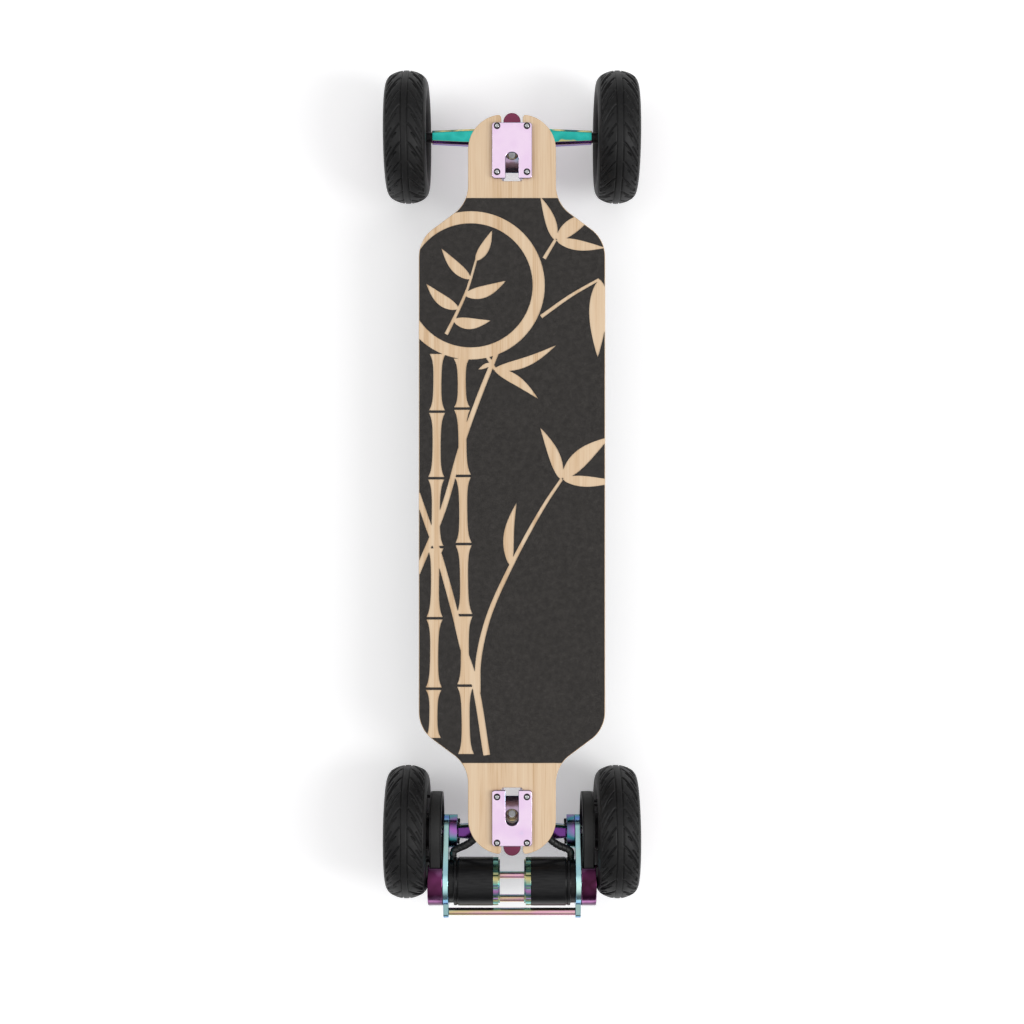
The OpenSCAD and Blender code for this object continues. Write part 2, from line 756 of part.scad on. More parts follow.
module mount_bolts() {
    color("Black") at_rear() both_sides() {
        for (a = [45:90:359]) {
            cross_rod(16 * [cos(a), sin(a)], 3.2, 70, 73);
            cross_rod(16 * [cos(a), sin(a)], 1.98, 73, 90.5);
        }
    }
}
module motor_cans() {
    color([0.13, 0.13, 0.13]) at_rear() both_sides() difference() {
        union() {
            // The gland that takes the end of the cable.
            translate(cable_end + [0, 0.5, 0]) rotate([-90, 0, 0]) cylinder(r = gland_r, h = 9);
            cross_rod(motor_at, motor_r, 25, 71);
            cross_rod(motor_at, motor_r - 1.2, 71, 73);
            cross_rod(motor_at, motor_r - 0.4, 73, 77);
            cross_rod(motor_at, motor_r - 3.5, 77, motor_x[1]);
        }
        cross_rod(motor_at, 4, 74, 90);
    }
}
module motor_end_rings() {
    color("Gold") at_rear() both_sides() {
        difference() {
            cross_rod(motor_at, motor_r - 0.3, 18, 25);
            for (a = [0:30:359]) cross_rod(motor_at + (motor_r + 0.4) * [cos(a), sin(a)], 2, 17, 26);
        }
        cross_rod(motor_at, motor_r - 3, motor_x[0], 18);
    }
}
module cover2d(e) {
    difference() {
        strap2d(motor_at, 31.5 - e, [80, 8], 14.5 - e);
        circle(54.5 + e);
    }
}
module belt_covers() {
    color("Indigo") at_rear() both_sides() difference() {
        side_plate(plate_x[1] + 0.2, 111) cover2d(0);
        side_plate(plate_x[1], 109) difference() {
            strap2d(motor_at, 29, [80, 8], 12);
            // Behind the wheel pulley the cover stays open for the belt.
            circle(30);
        }
        side_plate(plate_x[1], 109)
            strap2d([0, 0], wheel_pitch_r + belt_gap, motor_at, motor_pitch_r + belt_gap);
    }
}
module guard_bars() {
    color("Salmon") at_rear() {
        for (p = bar_at) cross_rod(p, bar_r, -plate_x[0], plate_x[0]);
        both_sides() for (p = bar_at) {
            cross_rod(p, 2.98, plate_x[0], plate_x[1]);
        }
    }
}
module drive_belts() {
    color("Black") at_rear() both_sides() side_plate(belt_x[0], belt_x[1]) difference() {
        strap2d([0, 0], wheel_pitch_r + belt_out, motor_at, motor_pitch_r + belt_out);
        strap2d([0, 0], wheel_pitch_r - belt_in, motor_at, motor_pitch_r - belt_in);
    }
}

// ---- baseplate fasteners and the pieces of each truck ----
module baseplate_holes() {
    for (end = [0, 1]) place_truck(end) for (p = bolt_at) translate([p[0], p[1], under_v - 1])
        cylinder(r = 2.5, h = deck_t + 2, $fn = 32);
}
module place_truck(end) {
    if (end == 0) at_front() children();
    else at_rear() children();
}
module baseplate_bolts() {
    color("Silver") for (end = [0, 1]) place_truck(end) for (p = bolt_at)
        translate([p[0], p[1], deck_v + plate_t]) difference() {
            union() {
                cylinder(r = 4.4, h = 2.6, $fn = 32);
                translate([0, 0, -plate_t - deck_t - 7])
                    cylinder(r = 2.48, h = plate_t + deck_t + 7, $fn = 32);
            }
            translate([0, 0, 1]) cylinder(r = 1.9, h = 4, $fn = 6);
        }
}
module baseplate_nuts() {
    color("Khaki") for (end = [0, 1]) place_truck(end) for (p = bolt_at)
        translate([p[0], p[1], under_v - 5]) difference() {
            cylinder(r = 4.6, h = 5, $fn = 6);
            translate([0, 0, -1]) cylinder(r = 2.49, h = 7, $fn = 32);
        }
}

deck();
grip_tape();
battery_case();
case_gasket();
case_screws();
deck_inserts();
heat_sink();
battery_cells();
battery_board();
motor_controller();
radio_receiver();
charge_socket();
cable_grommets();
at_front() baseplate(-32.6);  // front_baseplate
at_rear() baseplate(-20.6);  // rear_baseplate
baseplate_bolts();
baseplate_nuts();
at_front() inner_bushings();  // front_inner_bushings
at_rear() inner_bushings();  // rear_inner_bushings
motor_cables();
power_button();
charge_cap();
at_front() link();  // front_link
at_front() kingpins();  // front_kingpins
at_front() kingpin_nuts();  // front_kingpin_nuts
at_front() outer_bushings();  // front_outer_bushings
at_rear() link();  // rear_link
at_rear() kingpins();  // rear_kingpins
at_rear() kingpin_nuts();  // rear_kingpin_nuts
at_rear() outer_bushings();  // rear_outer_bushings
front_hanger();
at_front() axle(107.2);  // front_axle
at_front() axle_nuts();  // front_axle_nuts
rear_hanger();
at_rear() axle(93.2);  // rear_axle
at_rear() axle_nuts();  // rear_axle_nuts
motor_mounts();
mount_clamps();
mount_bolts();
motor_cans();
motor_end_rings();
belt_covers();
guard_bars();
drive_belts();
at_wheel(-1, front_y) tyre();  // front_left_tyre
at_wheel(-1, front_y) rim();  // front_left_rim
at_wheel(-1, front_y) bearings();  // front_left_bearings
at_wheel(1, front_y) tyre();  // front_right_tyre
at_wheel(1, front_y) rim();  // front_right_rim
at_wheel(1, front_y) bearings();  // front_right_bearings
at_wheel(-1, rear_y) tyre();  // rear_left_tyre
at_wheel(-1, rear_y) rim();  // rear_left_rim
at_wheel(-1, rear_y) bearings();  // rear_left_bearings
at_wheel(1, rear_y) tyre();  // rear_right_tyre
at_wheel(1, rear_y) rim();  // rear_right_rim
at_wheel(1, rear_y) bearings();  // rear_right_bearings
at_wheel(-1, rear_y) wheel_pulley();  // left_wheel_pulley
at_wheel(1, rear_y) wheel_pulley();  // right_wheel_pulley
at_rear() motor_pinion();  // left_motor_pinion
at_rear() mirror([1, 0, 0]) motor_pinion();  // right_motor_pinion
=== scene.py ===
"""Electric skateboard: bamboo deck, iridescent dropped-through trucks, air tyres and twin belt drive."""
import json
import math

import bmesh
import bpy
import numpy as np
from mathutils import Matrix, Vector
from mathutils.geometry import delaunay_2d_cdt


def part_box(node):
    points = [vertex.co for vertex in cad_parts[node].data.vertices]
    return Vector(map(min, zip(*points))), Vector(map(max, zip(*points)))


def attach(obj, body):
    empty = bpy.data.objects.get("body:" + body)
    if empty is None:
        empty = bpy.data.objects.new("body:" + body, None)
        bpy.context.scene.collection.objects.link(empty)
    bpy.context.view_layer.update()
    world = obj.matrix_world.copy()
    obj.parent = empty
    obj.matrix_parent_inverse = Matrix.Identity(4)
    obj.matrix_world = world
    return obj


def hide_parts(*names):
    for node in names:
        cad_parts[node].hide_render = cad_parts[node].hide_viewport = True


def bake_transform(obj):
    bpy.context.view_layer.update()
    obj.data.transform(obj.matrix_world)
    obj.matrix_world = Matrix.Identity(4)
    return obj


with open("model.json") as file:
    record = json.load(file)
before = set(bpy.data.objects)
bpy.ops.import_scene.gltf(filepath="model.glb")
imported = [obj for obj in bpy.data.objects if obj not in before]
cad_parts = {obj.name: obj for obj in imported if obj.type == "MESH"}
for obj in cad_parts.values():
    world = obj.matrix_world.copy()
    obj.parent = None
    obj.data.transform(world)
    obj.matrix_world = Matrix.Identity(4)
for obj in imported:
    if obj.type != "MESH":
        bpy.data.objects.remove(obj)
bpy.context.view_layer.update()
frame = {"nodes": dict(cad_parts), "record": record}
MM = 0.001

# ---- making finishes ----
def finish_of(name, plain):
    """A new material with plain values on its shader."""
    made = bpy.data.materials.new(name)
    made.use_nodes = True
    shader = made.node_tree.nodes["Principled BSDF"]
    for socket, value in plain.items():
        shader.inputs[socket].default_value = value
    return made, made.node_tree, shader


def node(tree, kind, inputs, **settings):
    made = tree.nodes.new("ShaderNode" + kind)
    for key, value in settings.items():
        setattr(made, key, value)
    for key, value in inputs.items():
        if isinstance(value, bpy.types.NodeSocket):
            tree.links.new(value, made.inputs[key])
        else:
            made.inputs[key].default_value = value
    return made


def stretched(tree, scale):
    """Object coordinates multiplied by scale, in features to the metre."""
    where = node(tree, "TexCoord", {}).outputs["Object"]
    return node(tree, "Mapping", {"Vector": where, "Scale": scale}).outputs["Vector"]


def noise(tree, scale, detail=3.0, rough=0.55):
    inputs = {"Vector": stretched(tree, scale), "Scale": 1.0, "Detail": detail, "Roughness": rough}
    return node(tree, "TexNoise", inputs).outputs[0]


def sums(tree, operation, a, b=0.0, clamp=False):
    return node(tree, "Math", {0: a, 1: b}, operation=operation, use_clamp=clamp).outputs[0]


def ramp(tree, factor, stops):
    made = node(tree, "ValToRGB", {0: factor})
    elements = made.color_ramp.elements
    while len(elements) < len(stops):
        elements.new(1.0)
    for element, (position, colour) in zip(elements, stops):
        element.position = position
        element.color = (*colour, 1) if len(colour) == 3 else colour
    return made.outputs["Color"]


def grey_ramp(tree, factor, low, high, start=0.0, end=1.0):
    return node(tree, "MapRange", {0: factor, 1: start, 2: end, 3: low, 4: high}).outputs[0]


def mixed(tree, factor, a, b, blend="MIX"):
    made = node(tree, "Mix", {0: factor, 6: a, 7: b}, data_type="RGBA", blend_type=blend)
    return made.outputs[2]


def mottled(name, dark, light, plain, scale=200, detail=3):
    """A new material whose colour wanders between a dark and a light tone."""
    made, tree, shader = finish_of(name, plain)
    spots = noise(tree, (scale, scale, scale), detail)
    tree.links.new(ramp(tree, spots, [(0.3, dark), (0.7, light)]), shader.inputs["Base Color"])
    return made, tree, shader


def rough_skin(tree, shader, height, distance, strength=1.0):
    bump = node(tree, "Bump", {"Height": height, "Distance": distance, "Strength": strength})
    tree.links.new(bump.outputs["Normal"], shader.inputs["Normal"])


def show(name, mesh, material):
    made = bpy.data.objects.new(name, mesh)
    bpy.context.scene.collection.objects.link(made)
    mesh.materials.clear()
    mesh.materials.append(material)
    return made


def wear(material, *names):
    """Gives CAD nodes their finish."""
    for name in names:
        mesh = frame["nodes"][name].data
        mesh.materials.clear()
        mesh.materials.append(material)


def stands_for(piece, cad_node, body):
    """Says which CAD node a piece stands for and which body it moves with."""
    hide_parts(cad_node)
    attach(piece, body)


def faces_out(mesh):
    """Turns the faces of a closed mesh outward."""
    form = bmesh.new()
    form.from_mesh(mesh)
    if form.calc_volume(signed=True) < 0:
        bmesh.ops.reverse_faces(form, faces=form.faces)
    form.to_mesh(mesh)
    form.free()


body_of_node = {n: body for body, nodes in frame["record"]["behaviour"]["bodies"].items() for n in nodes}


def rounded(name, material, width, angle=28, steps=2):
    """A copy of a CAD node with its sharp edges broken by width, which stands for the node."""
    mesh = frame["nodes"][name].data.copy()
    if "custom_normal" in mesh.attributes:
        mesh.attributes.remove(mesh.attributes["custom_normal"])
    form = bmesh.new()
    form.from_mesh(mesh)
    bmesh.ops.remove_doubles(form, verts=form.verts, dist=2e-6)
    bmesh.ops.dissolve_limit(form, angle_limit=math.radians(0.6), verts=form.verts, edges=form.edges)
    bmesh.ops.triangulate(form, faces=[f for f in form.faces if len(f.verts) > 4])
    sharp = [e for e in form.edges if len(e.link_faces) == 2 and e.calc_face_angle(0) > math.radians(angle)]
    sharp = [e for e in sharp if e.calc_length() > 0.15 * width]
    bmesh.ops.bevel(
        form, geom=sharp, offset=width, segments=steps, profile=0.5, affect="EDGES", clamp_overlap=False
    )
    bmesh.ops.triangulate(form, faces=[f for f in form.faces if len(f.verts) > 4])
    form.to_mesh(mesh)
    form.free()
    mesh.shade_smooth()
    mesh.set_sharp_from_angle(angle=math.radians(50))
    made = show(name + "_finished", mesh, material)
    even = made.modifiers.new("flat_faces_stay_flat", "WEIGHTED_NORMAL")
    even.keep_sharp = True
    stands_for(made, name, body_of_node[name])
    return made


# ---- studio ----
# A pale sheet on the floor, a bright soft sky straight up, a key lamp to the right and a weaker one
# to the left. The camera looks straight down from two metres above the deck.
deck_low, deck_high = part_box("deck")
mid_y = (deck_low.y + deck_high.y) / 2
camera = bpy.data.objects.new("camera", bpy.data.cameras.new("camera"))
camera.data.lens = 53.8
camera.data.sensor_width = 36
camera.data.shift_y = -0.027
camera.location = (0, mid_y, deck_high.z + 2.0)
bpy.context.scene.collection.objects.link(camera)
bpy.context.scene.camera = camera
bpy.context.scene.view_settings.view_transform = "Standard"


def lamp(name, place, aim, width, length, power):
    data = bpy.data.lights.new(name, "AREA")
    data.shape = "RECTANGLE"
    data.size, data.size_y, data.energy = width, length, power
    made = bpy.data.objects.new(name, data)
    made.location = place
    made.rotation_euler = (Vector(aim) - Vector(place)).to_track_quat("-Z", "Y").to_euler()
    bpy.context.scene.collection.objects.link(made)


lamp("key_lamp", (2.6, -0.5, 2.4), (0, 0, 0), 1.3, 2.6, 58)
lamp("fill_lamp", (-2.6, 0.5, 2.2), (0, 0, 0), 1.1, 2.6, 24)

world = bpy.data.worlds.new("studio")
bpy.context.scene.world = world
world.use_nodes = True
sky_tree = world.node_tree
sky_height = node(sky_tree, "SeparateXYZ", {0: node(sky_tree, "TexCoord", {}).outputs["Generated"]})
sky_light = ramp(sky_tree, sky_height.outputs["Z"], [(0.45, (0.13, 0.13, 0.135)), (0.93, (0.98, 0.98, 0.98))])
sky_tree.links.new(sky_light, sky_tree.nodes["Background"].inputs["Color"])


# ---- floor ----
# A plain pale sheet under the wheels. It is seen from above only.
floor_white, floor_tree, floor_shader = finish_of(
    "floor_white",
    {"Base Color": (0.93, 0.93, 0.935, 1), "Roughness": 0.9, "Specular IOR Level": 0.1,
     "Emission Color": (1, 1, 1, 1), "Emission Strength": 0.3},
)
glass = node(floor_tree, "BsdfTransparent", {})
side = node(floor_tree, "NewGeometry", {})
both = node(
    floor_tree, "MixShader",
    {0: side.outputs["Backfacing"], 1: floor_shader.outputs[0], 2: glass.outputs[0]},
)
floor_tree.links.new(both.outputs[0], floor_tree.nodes["Material Output"].inputs["Surface"])
floor_mesh = bpy.data.meshes.new("floor")
floor_mesh.from_pydata([(-9, -9, 0), (9, -9, 0), (9, 9, 0), (-9, 9, 0)], [], [(0, 1, 2, 3)])
show("floor", floor_mesh, floor_white)


# ---- deck ----
# Strips of bamboo pressed side by side, with clear satin lacquer on top and black paint below.
# Its edge shows the plies.
bamboo, tree, shader = finish_of("bamboo", {"Roughness": 0.42, "Coat Weight": 0.12, "Coat Roughness": 0.25})
parts = node(tree, "SeparateXYZ", {0: node(tree, "TexCoord", {}).outputs["Object"]})
strip = sums(tree, "FLOOR", sums(tree, "DIVIDE", parts.outputs["X"], 0.0068))
strip_tone = node(tree, "TexWhiteNoise", {"W": strip}, noise_dimensions="1D").outputs["Value"]
fibre = noise(tree, (1100, 13, 400), 5, 0.62)
bands = noise(tree, (150, 3.5, 150), 3)
tone = sums(tree, "ADD", sums(tree, "MULTIPLY", fibre, 0.62), sums(tree, "MULTIPLY", bands, 0.34))
tone = sums(tree, "ADD", tone, sums(tree, "MULTIPLY", strip_tone, 0.16))
wood = ramp(tree, tone, [
    (0.3, (0.5, 0.3, 0.155)), (0.44, (0.66, 0.445, 0.255)), (0.56, (0.755, 0.55, 0.355)),
    (0.7, (0.8, 0.615, 0.42)),
])
ply = sums(tree, "PINGPONG", sums(tree, "SUBTRACT", deck_high.z, parts.outputs["Z"]), 1.5 * MM)
glue_line = sums(tree, "LESS_THAN", ply, 0.16 * MM)
level = node(tree, "SeparateXYZ", {0: node(tree, "TexCoord", {}).outputs["Normal"]}).outputs["Z"]
edge = sums(tree, "LESS_THAN", sums(tree, "ABSOLUTE", level), 0.5)
wood = mixed(tree, sums(tree, "MULTIPLY", edge, glue_line), wood, (0.26, 0.15, 0.08, 1))
below = sums(tree, "LESS_THAN", parts.outputs["Z"], deck_low.z + 1.3 * MM)
paint = noise(tree, (900, 900, 900), 4)
mottle = ramp(tree, paint, [(0.3, (0.01, 0.01, 0.01)), (0.7, (0.022, 0.022, 0.022))])
tree.links.new(mixed(tree, below, wood, mottle), shader.inputs["Base Color"])
rough_skin(tree, shader, fibre, 0.05 * MM, 0.5)
rounded("deck", bamboo, 1.1 * MM, steps=3)


# ---- grip tape ----
# Charcoal abrasive sheet, one millimetre thick, stuck to the deck. A generic bamboo picture is cut out of it,
# so that the wood shows. It is drawn in millimetres from the middle of the deck.
def outline_of(name, height):
    """The outer edge of a CAD node's flat face at that height, in order."""
    form = bmesh.new()
    form.from_mesh(frame["nodes"][name].data)
    bmesh.ops.remove_doubles(form, verts=form.verts, dist=2e-6)
    flat = {f for f in form.faces if all(abs(v.co.z - height) < 1e-5 for v in f.verts)}
    after = {}
    for face in flat:
        for loop in face.loops:
            if sum(f in flat for f in loop.edge.link_faces) == 1:
                after[loop.vert.index] = loop.link_loop_next.vert.index
    form.verts.ensure_lookup_table()
    start = min(after)
    order = [start]
    while after[order[-1]] != start:
        order.append(after[order[-1]])
    points = [form.verts[i].co.xy.copy() for i in order]
    form.free()
    return points


def anticlockwise(shape):
    area = sum(a.x * b.y - b.x * a.y for a, b in zip(shape, shape[1:] + shape[:1]))
    return shape if area > 0 else shape[::-1]


def cut_sheet(outlines, place, lift, near):
    """A closed form drawn up from a flat sheet, which fills the first outline but not the others."""
    corners, regions = [], []
    for shape in outlines:
        regions.append(list(range(len(corners), len(corners) + len(shape))))
        corners += shape
    flat, _, faces, _, _, homes = delaunay_2d_cdt(corners, [], regions, 1, near, True)
    form = bmesh.new()
    verts = [form.verts.new(place(p)) for p in flat]
    for face, home in zip(faces, homes):
        if home == [0]:
            form.faces.new([verts[i] for i in face])
    bmesh.ops.delete(form, geom=[v for v in form.verts if not v.link_faces], context="VERTS")
    lifted = bmesh.ops.extrude_face_region(form, geom=form.faces[:])["geom"]
    bmesh.ops.translate(form, vec=lift, verts=[g for g in lifted if isinstance(g, bmesh.types.BMVert)])
    bmesh.ops.recalc_face_normals(form, faces=form.faces)
    return form


def smooth_route(points, steps=8):
    """A curve through the points."""
    p = [Vector(q) for q in points]
    p = [2 * p[0] - p[1]] + p + [2 * p[-1] - p[-2]]
    route = []
    for a, b, c, d in zip(p, p[1:], p[2:], p[3:]):
        for k in range(steps):
            t = k / steps
            route.append(
                0.5 * (2 * b + (c - a) * t + (2 * a - 5 * b + 4 * c - d) * t * t
                       + (3 * b - a - 3 * c + d) * t ** 3)
            )
    return route + [p[-2]]


def stroke(points, first, last):
    """A branch that tapers from width first to width last."""
    route = smooth_route(points)
    left, right = [], []
    for i, at in enumerate(route):
        way = (route[min(i + 1, len(route) - 1)] - route[max(i - 1, 0)]).normalized()
        half = (first + (last - first) * i / (len(route) - 1)) / 2
        left.append(at + half * Vector((-way.y, way.x)))
        right.append(at - half * Vector((-way.y, way.x)))
    return left + right[::-1]


def leaf(base, tip, width, bend=0.0):
    """A bamboo leaf: round near its stem and drawn out to a point."""
    base, tip = Vector(base), Vector(tip)
    way = tip - base
    across = Vector((-way.y, way.x)).normalized()
    left, right = [], []
    for i in range(19):
        t = i / 18
        middle = base + t * way + bend * math.sin(math.pi * t) * across
        half = width / 2 * math.sin(math.pi * t ** 0.72) ** 0.9
        left.append(middle + half * across)
        right.append(middle - half * across)
    return left + right[-2:0:-1]


def cane(top, foot, joints, slim, wide):
    """One bamboo stalk as separate lengths that flare towards each joint."""
    top, foot = Vector(top), Vector(foot)
    levels = [top.y] + joints + [foot.y]
    lengths = []
    for upper, lower in zip(levels, levels[1:]):
        left, right = [], []
        for i in range(17):
            t = i / 16
            y = upper - 1.6 + (lower - upper + 3.2) * t
            x = top.x + (foot.x - top.x) * (top.y - y) / (top.y - foot.y)
            flare = math.exp(-t * 9) + math.exp(-(1 - t) * 9)
            half = (slim + (wide - slim) * flare) / 2
            left.append(Vector((x - half, y)))
            right.append(Vector((x + half, y)))
        lengths.append(left + right[::-1])
    return lengths


def ring(centre, outer, inner):
    """A full ring as two half rings, so that each half is a plain outline."""
    halves = []
    for start in (0, math.pi):
        turn = [start + math.pi * i / 40 for i in range(41)]
        out = [Vector((centre[0] + outer * math.cos(a), centre[1] + outer * math.sin(a))) for a in turn]
        back = [Vector((centre[0] + inner * math.cos(a), centre[1] + inner * math.sin(a))) for a in turn]
        halves.append(out + back[::-1])
    return halves


ring_at = (-54, 260)
picture = ring(ring_at, 97, 81)
picture += cane((-97, 172), (-103, -333), [95, 8, -82, -175, -267], 10.4, 21)
picture += cane((-66, 166), (-60, -354), [99, 11, -78, -171, -263], 10.4, 21)
picture += [
    stroke([(-20, 172), (-44, 112), (-66, 50), (-90, -33), (-124, -116)], 6, 8),
    stroke([(-124, -12), (-109, -55), (-95, -94), (-75, -166), (-64, -212), (-47, -267), (-33, -354)], 8, 9),
    stroke([
        (-45, -272), (-44, -232), (-36, -191), (-23, -153), (-1, -106), (21, -64), (43, -26), (65, 7)
    ], 8, 4),
    stroke([(42, 295), (57, 320)], 5, 4),
    stroke([(38, 219), (76, 246), (114, 268)], 5, 3.6),
    stroke([(-34, 170), (-22, 150)], 5, 4),
    leaf((65, 6), (37, 74), 15, -3),
    leaf((66, 8), (128, 62), 22, 4),
    leaf((66, 7), (138, 4), 14, -2),
    leaf((-2, -107), (6, -24), 14, 6),
    leaf((57, 319), (37, 376), 14, -2),
    leaf((58, 320), (112, 356), 19, 3),
    leaf((58, 319), (122, 309), 14, -2),
    leaf((115, 268), (112, 166), 24, -1),
    leaf((-24, 150), (58, 182), 13, -6),
    leaf((-24, 151), (34, 112), 13, 4),
    leaf((-28, 158), (-44, 150), 6, 0),
    # A plain sprig leans in the ring, with its leaves by turns on either side.
    stroke([(-86, 196), (-72, 224), (-58, 256), (-46, 296)], 5, 3),
    leaf((-77, 214), (-28, 214), 15, -4),
    leaf((-70, 229), (-112, 262), 15, 4),
    leaf((-62, 247), (-8, 266), 16, -4),
    leaf((-54, 268), (-92, 308), 14, 3),
    leaf((-47, 292), (-26, 332), 13, -2),
]

grip, tree, shader = finish_of("grip", {"Roughness": 0.85, "Specular IOR Level": 0.25})
grit = noise(tree, (1500, 1500, 1500), 2, 0.7)
patches = noise(tree, (160, 160, 160), 3)
shade = sums(tree, "ADD", sums(tree, "MULTIPLY", grit, 0.85), sums(tree, "MULTIPLY", patches, 0.2))
tree.links.new(
    ramp(tree, shade, [
        (0.38, (0.014, 0.013, 0.0125)), (0.52, (0.034, 0.031, 0.029)), (0.66, (0.066, 0.06, 0.056)),
        (0.78, (0.15, 0.14, 0.13)),
    ]),
    shader.inputs["Base Color"],
)
rough_skin(tree, shader, grit, 0.25 * MM, 0.8)

grip_low, grip_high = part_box("grip_tape")
grip_floor = grip_low.z + 0.02 * MM
sheet_edge = anticlockwise(outline_of("grip_tape", grip_high.z))
cuts = [[Vector((p.x * MM, p.y * MM + mid_y)) for p in anticlockwise(shape)] for shape in picture]
form = cut_sheet(
    [sheet_edge] + cuts, lambda p: (p.x, p.y, grip_floor), (0, 0, grip_high.z - grip_floor), 1e-7
)
grip_mesh = bpy.data.meshes.new("grip")
form.to_mesh(grip_mesh)
form.free()
grip_sheet = show("grip_sheet", grip_mesh, grip)
stands_for(grip_sheet, "grip_tape", "board")


# ---- tyres ----
# Pneumatic rubber tyres. A plain rib runs round the middle; curved grooves sweep back from it on both sides,
# with short ones between, and a thin line marks the edge of the tread.
rubber, tree, shader = finish_of("tyre_rubber", {"Roughness": 0.5, "Specular IOR Level": 0.28})
dust = noise(tree, (220, 220, 220), 5, 0.6)
dusty = ramp(tree, dust, [(0.3, (0.005, 0.005, 0.0052)), (0.7, (0.012, 0.012, 0.0125))])
tree.links.new(dusty, shader.inputs["Base Color"])
tree.links.new(grey_ramp(tree, noise(tree, (90, 90, 90), 4), 0.4, 0.62), shader.inputs["Roughness"])
rough_skin(tree, shader, noise(tree, (1700, 1700, 1700), 2), 0.06 * MM, 0.5)

tyre_r = 87.5
crown_r, wall_r = 40.0, 16.0
crown_arc = crown_r * math.radians(30)
wall_arc = wall_r * math.radians(125)
repeats = 22
repeat = 2 * math.pi * tyre_r / repeats


def tyre_profile(s):
    """Radius, sideways place and outward direction at a distance s along the section from the crown."""
    a = np.minimum(s / crown_r, math.radians(30))
    b = math.radians(30) + np.clip(s - crown_arc, 0, wall_arc) / wall_r
    on_crown = s < crown_arc
    seat = (tyre_r - crown_r + (crown_r - wall_r) * math.cos(math.radians(30)), (crown_r - wall_r) / 2)
    r = np.where(on_crown, tyre_r - crown_r + crown_r * np.cos(a), seat[0] + wall_r * np.cos(b))
    x = np.where(on_crown, crown_r * np.sin(a), seat[1] + wall_r * np.sin(b))
    return r, x, np.where(on_crown, np.cos(a), np.cos(b)), np.where(on_crown, np.sin(a), np.sin(b))


def groove(s, t, start, end, shift, lean, width, depth):
    """Depth of one family of swept grooves at distance s from the crown and t round the tyre."""
    run = np.clip((s - start) / (end - start), 0, 1)
    drop = lean * run ** 1.25
    slope = lean * 1.25 * run ** 0.25 / (end - start)
    gap = (t + drop - shift + repeat / 2) % repeat - repeat / 2
    away = np.abs(gap) / np.sqrt(1 + slope ** 2)
    half = width / 2 * np.clip(np.minimum(run, 1 - run) * 9, 0, 1) ** 0.6
    inside = (s > start) & (s < end)
    return np.where(inside, depth * np.clip((half - away) / 0.55 + 0.5, 0, 1), 0)


def round_line(s, at, width, depth):
    """Depth of a thin line right round the tyre."""
    return depth * np.clip((width / 2 - np.abs(s - at)) / 0.4 + 0.5, 0, 1)


def tread_depth(s, t):
    cuts = [
        round_line(s, 4.5, 1.5, 1.6), round_line(s, 26.3, 0.9, 0.6), round_line(s, 40, 0.8, 0.5),
        groove(s, t, 4.4, 25.2, 0, 31, 2.1, 1.9),
        groove(s, t, 9.5, 25.2, repeat / 2, 24, 1.8, 1.7),
        groove(s, t, 16.0, 25.4, repeat / 4, 15, 1.5, 1.4),
        groove(s, t, 16.0, 25.4, 3 * repeat / 4, 15, 1.5, 1.4),
    ]
    return np.maximum.reduce(cuts)


across = np.concatenate([np.linspace(0, 27, 35), np.linspace(28.5, crown_arc + wall_arc, 16)])
round_steps = repeats * 42
turn = np.arange(round_steps) * 2 * math.pi / round_steps
half_s, half_t = np.meshgrid(across, turn * tyre_r)
r, x, out_r, out_x = tyre_profile(half_s)
cut = tread_depth(half_s, half_t)
r, x = r - out_r * cut, x - out_x * cut
bead = np.full((round_steps, 1), 1.0)
radius = np.hstack([r[:, ::-1], r[:, 1:], 51.5 * bead, 48.1 * bead, 48.1 * bead, 51.5 * bead])
sideways = np.hstack([-x[:, ::-1], x[:, 1:], 16 * bead, 15.8 * bead, -15.8 * bead, -16 * bead])
columns = radius.shape[1]
tyre_points = np.stack(
    [sideways, radius * np.sin(turn)[:, None], radius * np.cos(turn)[:, None]], axis=2
).reshape(-1, 3) * MM
i, j = np.meshgrid(np.arange(round_steps), np.arange(columns), indexing="ij")
ahead, beside = (i + 1) % round_steps, (j + 1) % columns
tyre_faces = np.stack(
    [i * columns + j, ahead * columns + j, ahead * columns + beside, i * columns + beside], axis=2
).reshape(-1, 4)

wheels = [(end, side) for end in ("front", "rear") for side in ("left", "right")]


def wheel_centre(end, side):
    low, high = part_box(f"{end}_{side}_tyre")
    return (low + high) / 2


for end, side in wheels:
    name = f"{end}_{side}"
    mesh = bpy.data.meshes.new(name)
    mesh.from_pydata((tyre_points + np.array(wheel_centre(end, side))).tolist(), [], tyre_faces.tolist())
    mesh.validate()
    faces_out(mesh)
    mesh.shade_smooth()
    mesh.set_sharp_from_angle(angle=math.radians(70))
    made = show(f"{name}_tread_tyre", mesh, rubber)
    stands_for(made, f"{name}_tyre", f"{name}_wheel")


